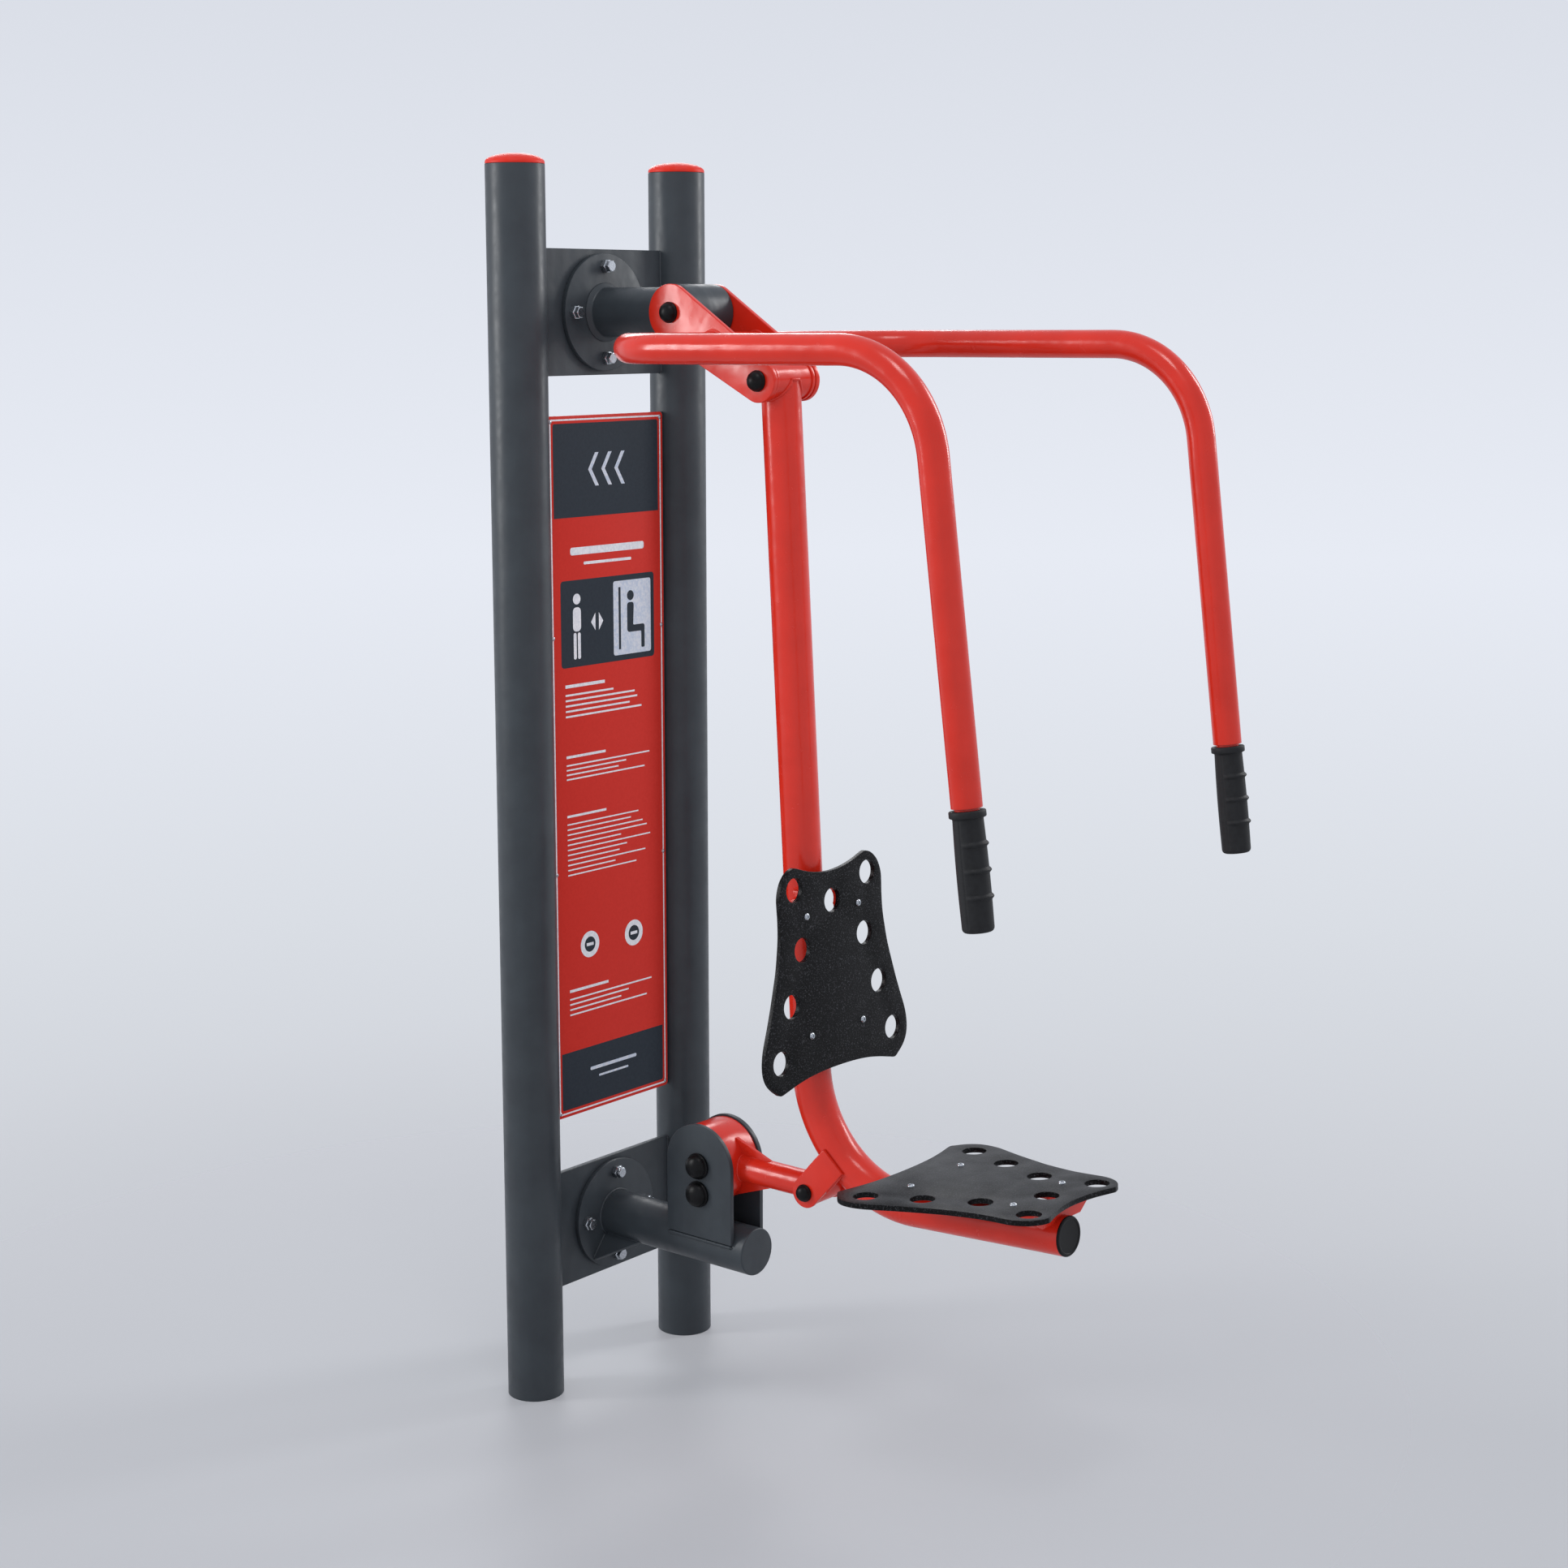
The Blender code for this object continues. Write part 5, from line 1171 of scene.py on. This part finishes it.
class PressColours(bpy.types.PropertyGroup):
    red: hex_property("Red coat", "Red powder coat", "#D22A19")
    red_deep: hex_property("Red coat, deep", "Darker drift of the red powder coat", "#CA2716")
    grey: hex_property("Grey coat", "Anthracite powder coat", "#383E43")
    grey_deep: hex_property("Grey coat, deep", "Darker drift of the anthracite powder coat", "#33383D")
    sheet: hex_property("Sheet", "Seat and back sheet", "#09090A")
    # Painted highlight: the colour of the grains' lit sides, speckled over the sheet's base colour.
    painted_grain_highlight: hex_property("Sheet speckle", "Lit grains of the sheet", "#424246")
    plastic: hex_property("Black plastic", "Screw caps, plug and bearings", "#0C0C0D")
    plastic_pale: hex_property("Black plastic, pale", "Paler drift of the black plastic", "#121214")
    cap: hex_property("Post caps", "Red plastic of the post caps", "#D4332B")
    rubber: hex_property("Rubber", "Grip rubber", "#1B1B1D")
    rubber_pale: hex_property("Rubber, dusty", "Dusty drift of the grip rubber", "#232426")
    zinc: hex_property("Zinc", "Zinc plating", "#C2C6CB")
    zinc_dull: hex_property("Zinc, dull", "Duller plating", "#A3A8AE")
    sign: hex_property("Sign red", "Field of the sign", "#C62B20")
    sign_deep: hex_property("Sign red, deep", "Darker drift of the sign's field", "#C2291E")
    sign_back: hex_property("Sign back", "Plain lacquer on the back of the sign", "#9DA1A6")
    slate: hex_property("Sign slate", "Dark blocks of the sign", "#262E37")
    slate_deep: hex_property("Sign slate, deep", "Darker drift of the dark blocks", "#232B34")
    pale: hex_property("Sign pale", "Pale marks of the sign", "#E2E4E8")
    pale_deep: hex_property("Sign pale, deep", "Darker drift of the pale marks", "#CDD3DB")
    pale_blue: hex_property("Sign blue", "Pale blue marks of the sign", "#B4C1D3")
    floor: hex_property("Floor", "Studio floor", "#B4B5B9")
    floor_deep: hex_property("Floor, deep", "Darker drift of the floor", "#B0B1B5")
    sweep_low: hex_property("Background, low", "Background at the lowest views", "#BEC1C8")
    sweep_near: hex_property("Background, near", "Background just past the floor", "#CDD0D7")
    sweep_mid: hex_property("Background, middle", "Background in the middle of the view", "#DADEE5")
    sweep_bright: hex_property("Background, bright", "Brightest band of the background", "#E7EBF4")
    sweep_top: hex_property("Background, top", "Background at the top", "#DADEE7")
    dome: hex_property("Dome", "Colour of the even light", "#F1F4FA")


class PRESS_OT_posts(bpy.types.Operator):
    """Makes the two posts and their domed caps"""
    bl_idname = "press.posts"
    bl_label = "Posts"

    def execute(self, context):
        make_posts()
        return {"FINISHED"}


class PRESS_OT_brackets(bpy.types.Operator):
    """Makes the flanged support tubes, their bolts and the cross plates' welds"""
    bl_idname = "press.brackets"
    bl_label = "Support brackets"

    def execute(self, context):
        make_brackets(context.scene.press_sizes)
        return {"FINISHED"}


class PRESS_OT_clevis(bpy.types.Operator):
    """Makes the clevis plates and their large caps"""
    bl_idname = "press.clevis"
    bl_label = "Clevis"

    def execute(self, context):
        make_clevis(context.scene.press_sizes)
        return {"FINISHED"}


class PRESS_OT_upper_link(bpy.types.Operator):
    """Makes the link plates, handlebar, grips and axle caps"""
    bl_idname = "press.upper_link"
    bl_label = "Handlebar and link"

    def execute(self, context):
        make_upper_link(context.scene.press_sizes)
        return {"FINISHED"}


class PRESS_OT_seat_frame(bpy.types.Operator):
    """Makes the pivot hub, seat tube, plug, ears and pin caps"""
    bl_idname = "press.seat_frame"
    bl_label = "Seat frame"

    def execute(self, context):
        make_seat_frame(context.scene.press_sizes)
        return {"FINISHED"}


class PRESS_OT_panels(bpy.types.Operator):
    """Makes the seat and back plates with their screws"""
    bl_idname = "press.panels"
    bl_label = "Seat and back plates"

    def execute(self, context):
        make_panels(context.scene.press_sizes)
        return {"FINISHED"}


class PRESS_OT_lower_link(bpy.types.Operator):
    """Makes the lower link with its shell, arm, fins and eye"""
    bl_idname = "press.lower_link"
    bl_label = "Lower link"

    def execute(self, context):
        make_lower_link(context.scene.press_sizes)
        return {"FINISHED"}


class PRESS_OT_sign(bpy.types.Operator):
    """Makes the sign board with its plain artwork and screws"""
    bl_idname = "press.sign"
    bl_label = "Sign board"

    def execute(self, context):
        make_sign()
        return {"FINISHED"}


class PRESS_OT_carried(bpy.types.Operator):
    """Gives the frame's own visible nodes their finish"""
    bl_idname = "press.carried"
    bl_label = "Frame finishes"

    def execute(self, context):
        dress_carried()
        return {"FINISHED"}


class PRESS_OT_stage(bpy.types.Operator):
    """Makes the floor, background, softboxes and camera"""
    bl_idname = "press.stage"
    bl_label = "Stage"

    def execute(self, context):
        make_stage(context.scene.press_sizes, context.scene.press_colours)
        return {"FINISHED"}


OPERATORS = (
    PRESS_OT_posts, PRESS_OT_brackets, PRESS_OT_clevis, PRESS_OT_upper_link, PRESS_OT_seat_frame,
    PRESS_OT_panels, PRESS_OT_lower_link, PRESS_OT_sign, PRESS_OT_carried, PRESS_OT_stage,
)


class PRESS_PT_panel(bpy.types.Panel):
    """Lists the pieces of the chest press and its stage"""
    bl_idname = "PRESS_PT_panel"
    bl_label = "Outdoor chest press"
    bl_space_type = "VIEW_3D"
    bl_region_type = "UI"
    bl_category = "Chest Press"

    def draw(self, context):
        for kind in OPERATORS:
            self.layout.operator(kind.bl_idname)
        for group in (context.scene.press_sizes, context.scene.press_colours):
            column = self.layout.column()
            for key in group.__annotations__:
                column.prop(group, key)


CLASSES = (PressSizes, PressColours) + OPERATORS + (PRESS_PT_panel,)


def register():
    for kind in CLASSES:
        bpy.utils.register_class(kind)
    bpy.types.Scene.press_sizes = bpy.props.PointerProperty(type=PressSizes)
    bpy.types.Scene.press_colours = bpy.props.PointerProperty(type=PressColours)


def unregister():
    del bpy.types.Scene.press_colours
    del bpy.types.Scene.press_sizes
    for kind in reversed(CLASSES):
        bpy.utils.unregister_class(kind)


def main():
    register()
    for step in (bpy.ops.press.posts, bpy.ops.press.brackets, bpy.ops.press.clevis, bpy.ops.press.upper_link,
                 bpy.ops.press.seat_frame, bpy.ops.press.panels, bpy.ops.press.lower_link, bpy.ops.press.sign,
                 bpy.ops.press.carried, bpy.ops.press.stage):
        if step() != {"FINISHED"}:
            raise RuntimeError("A step did not finish")


if __name__ == "__main__":
    main()
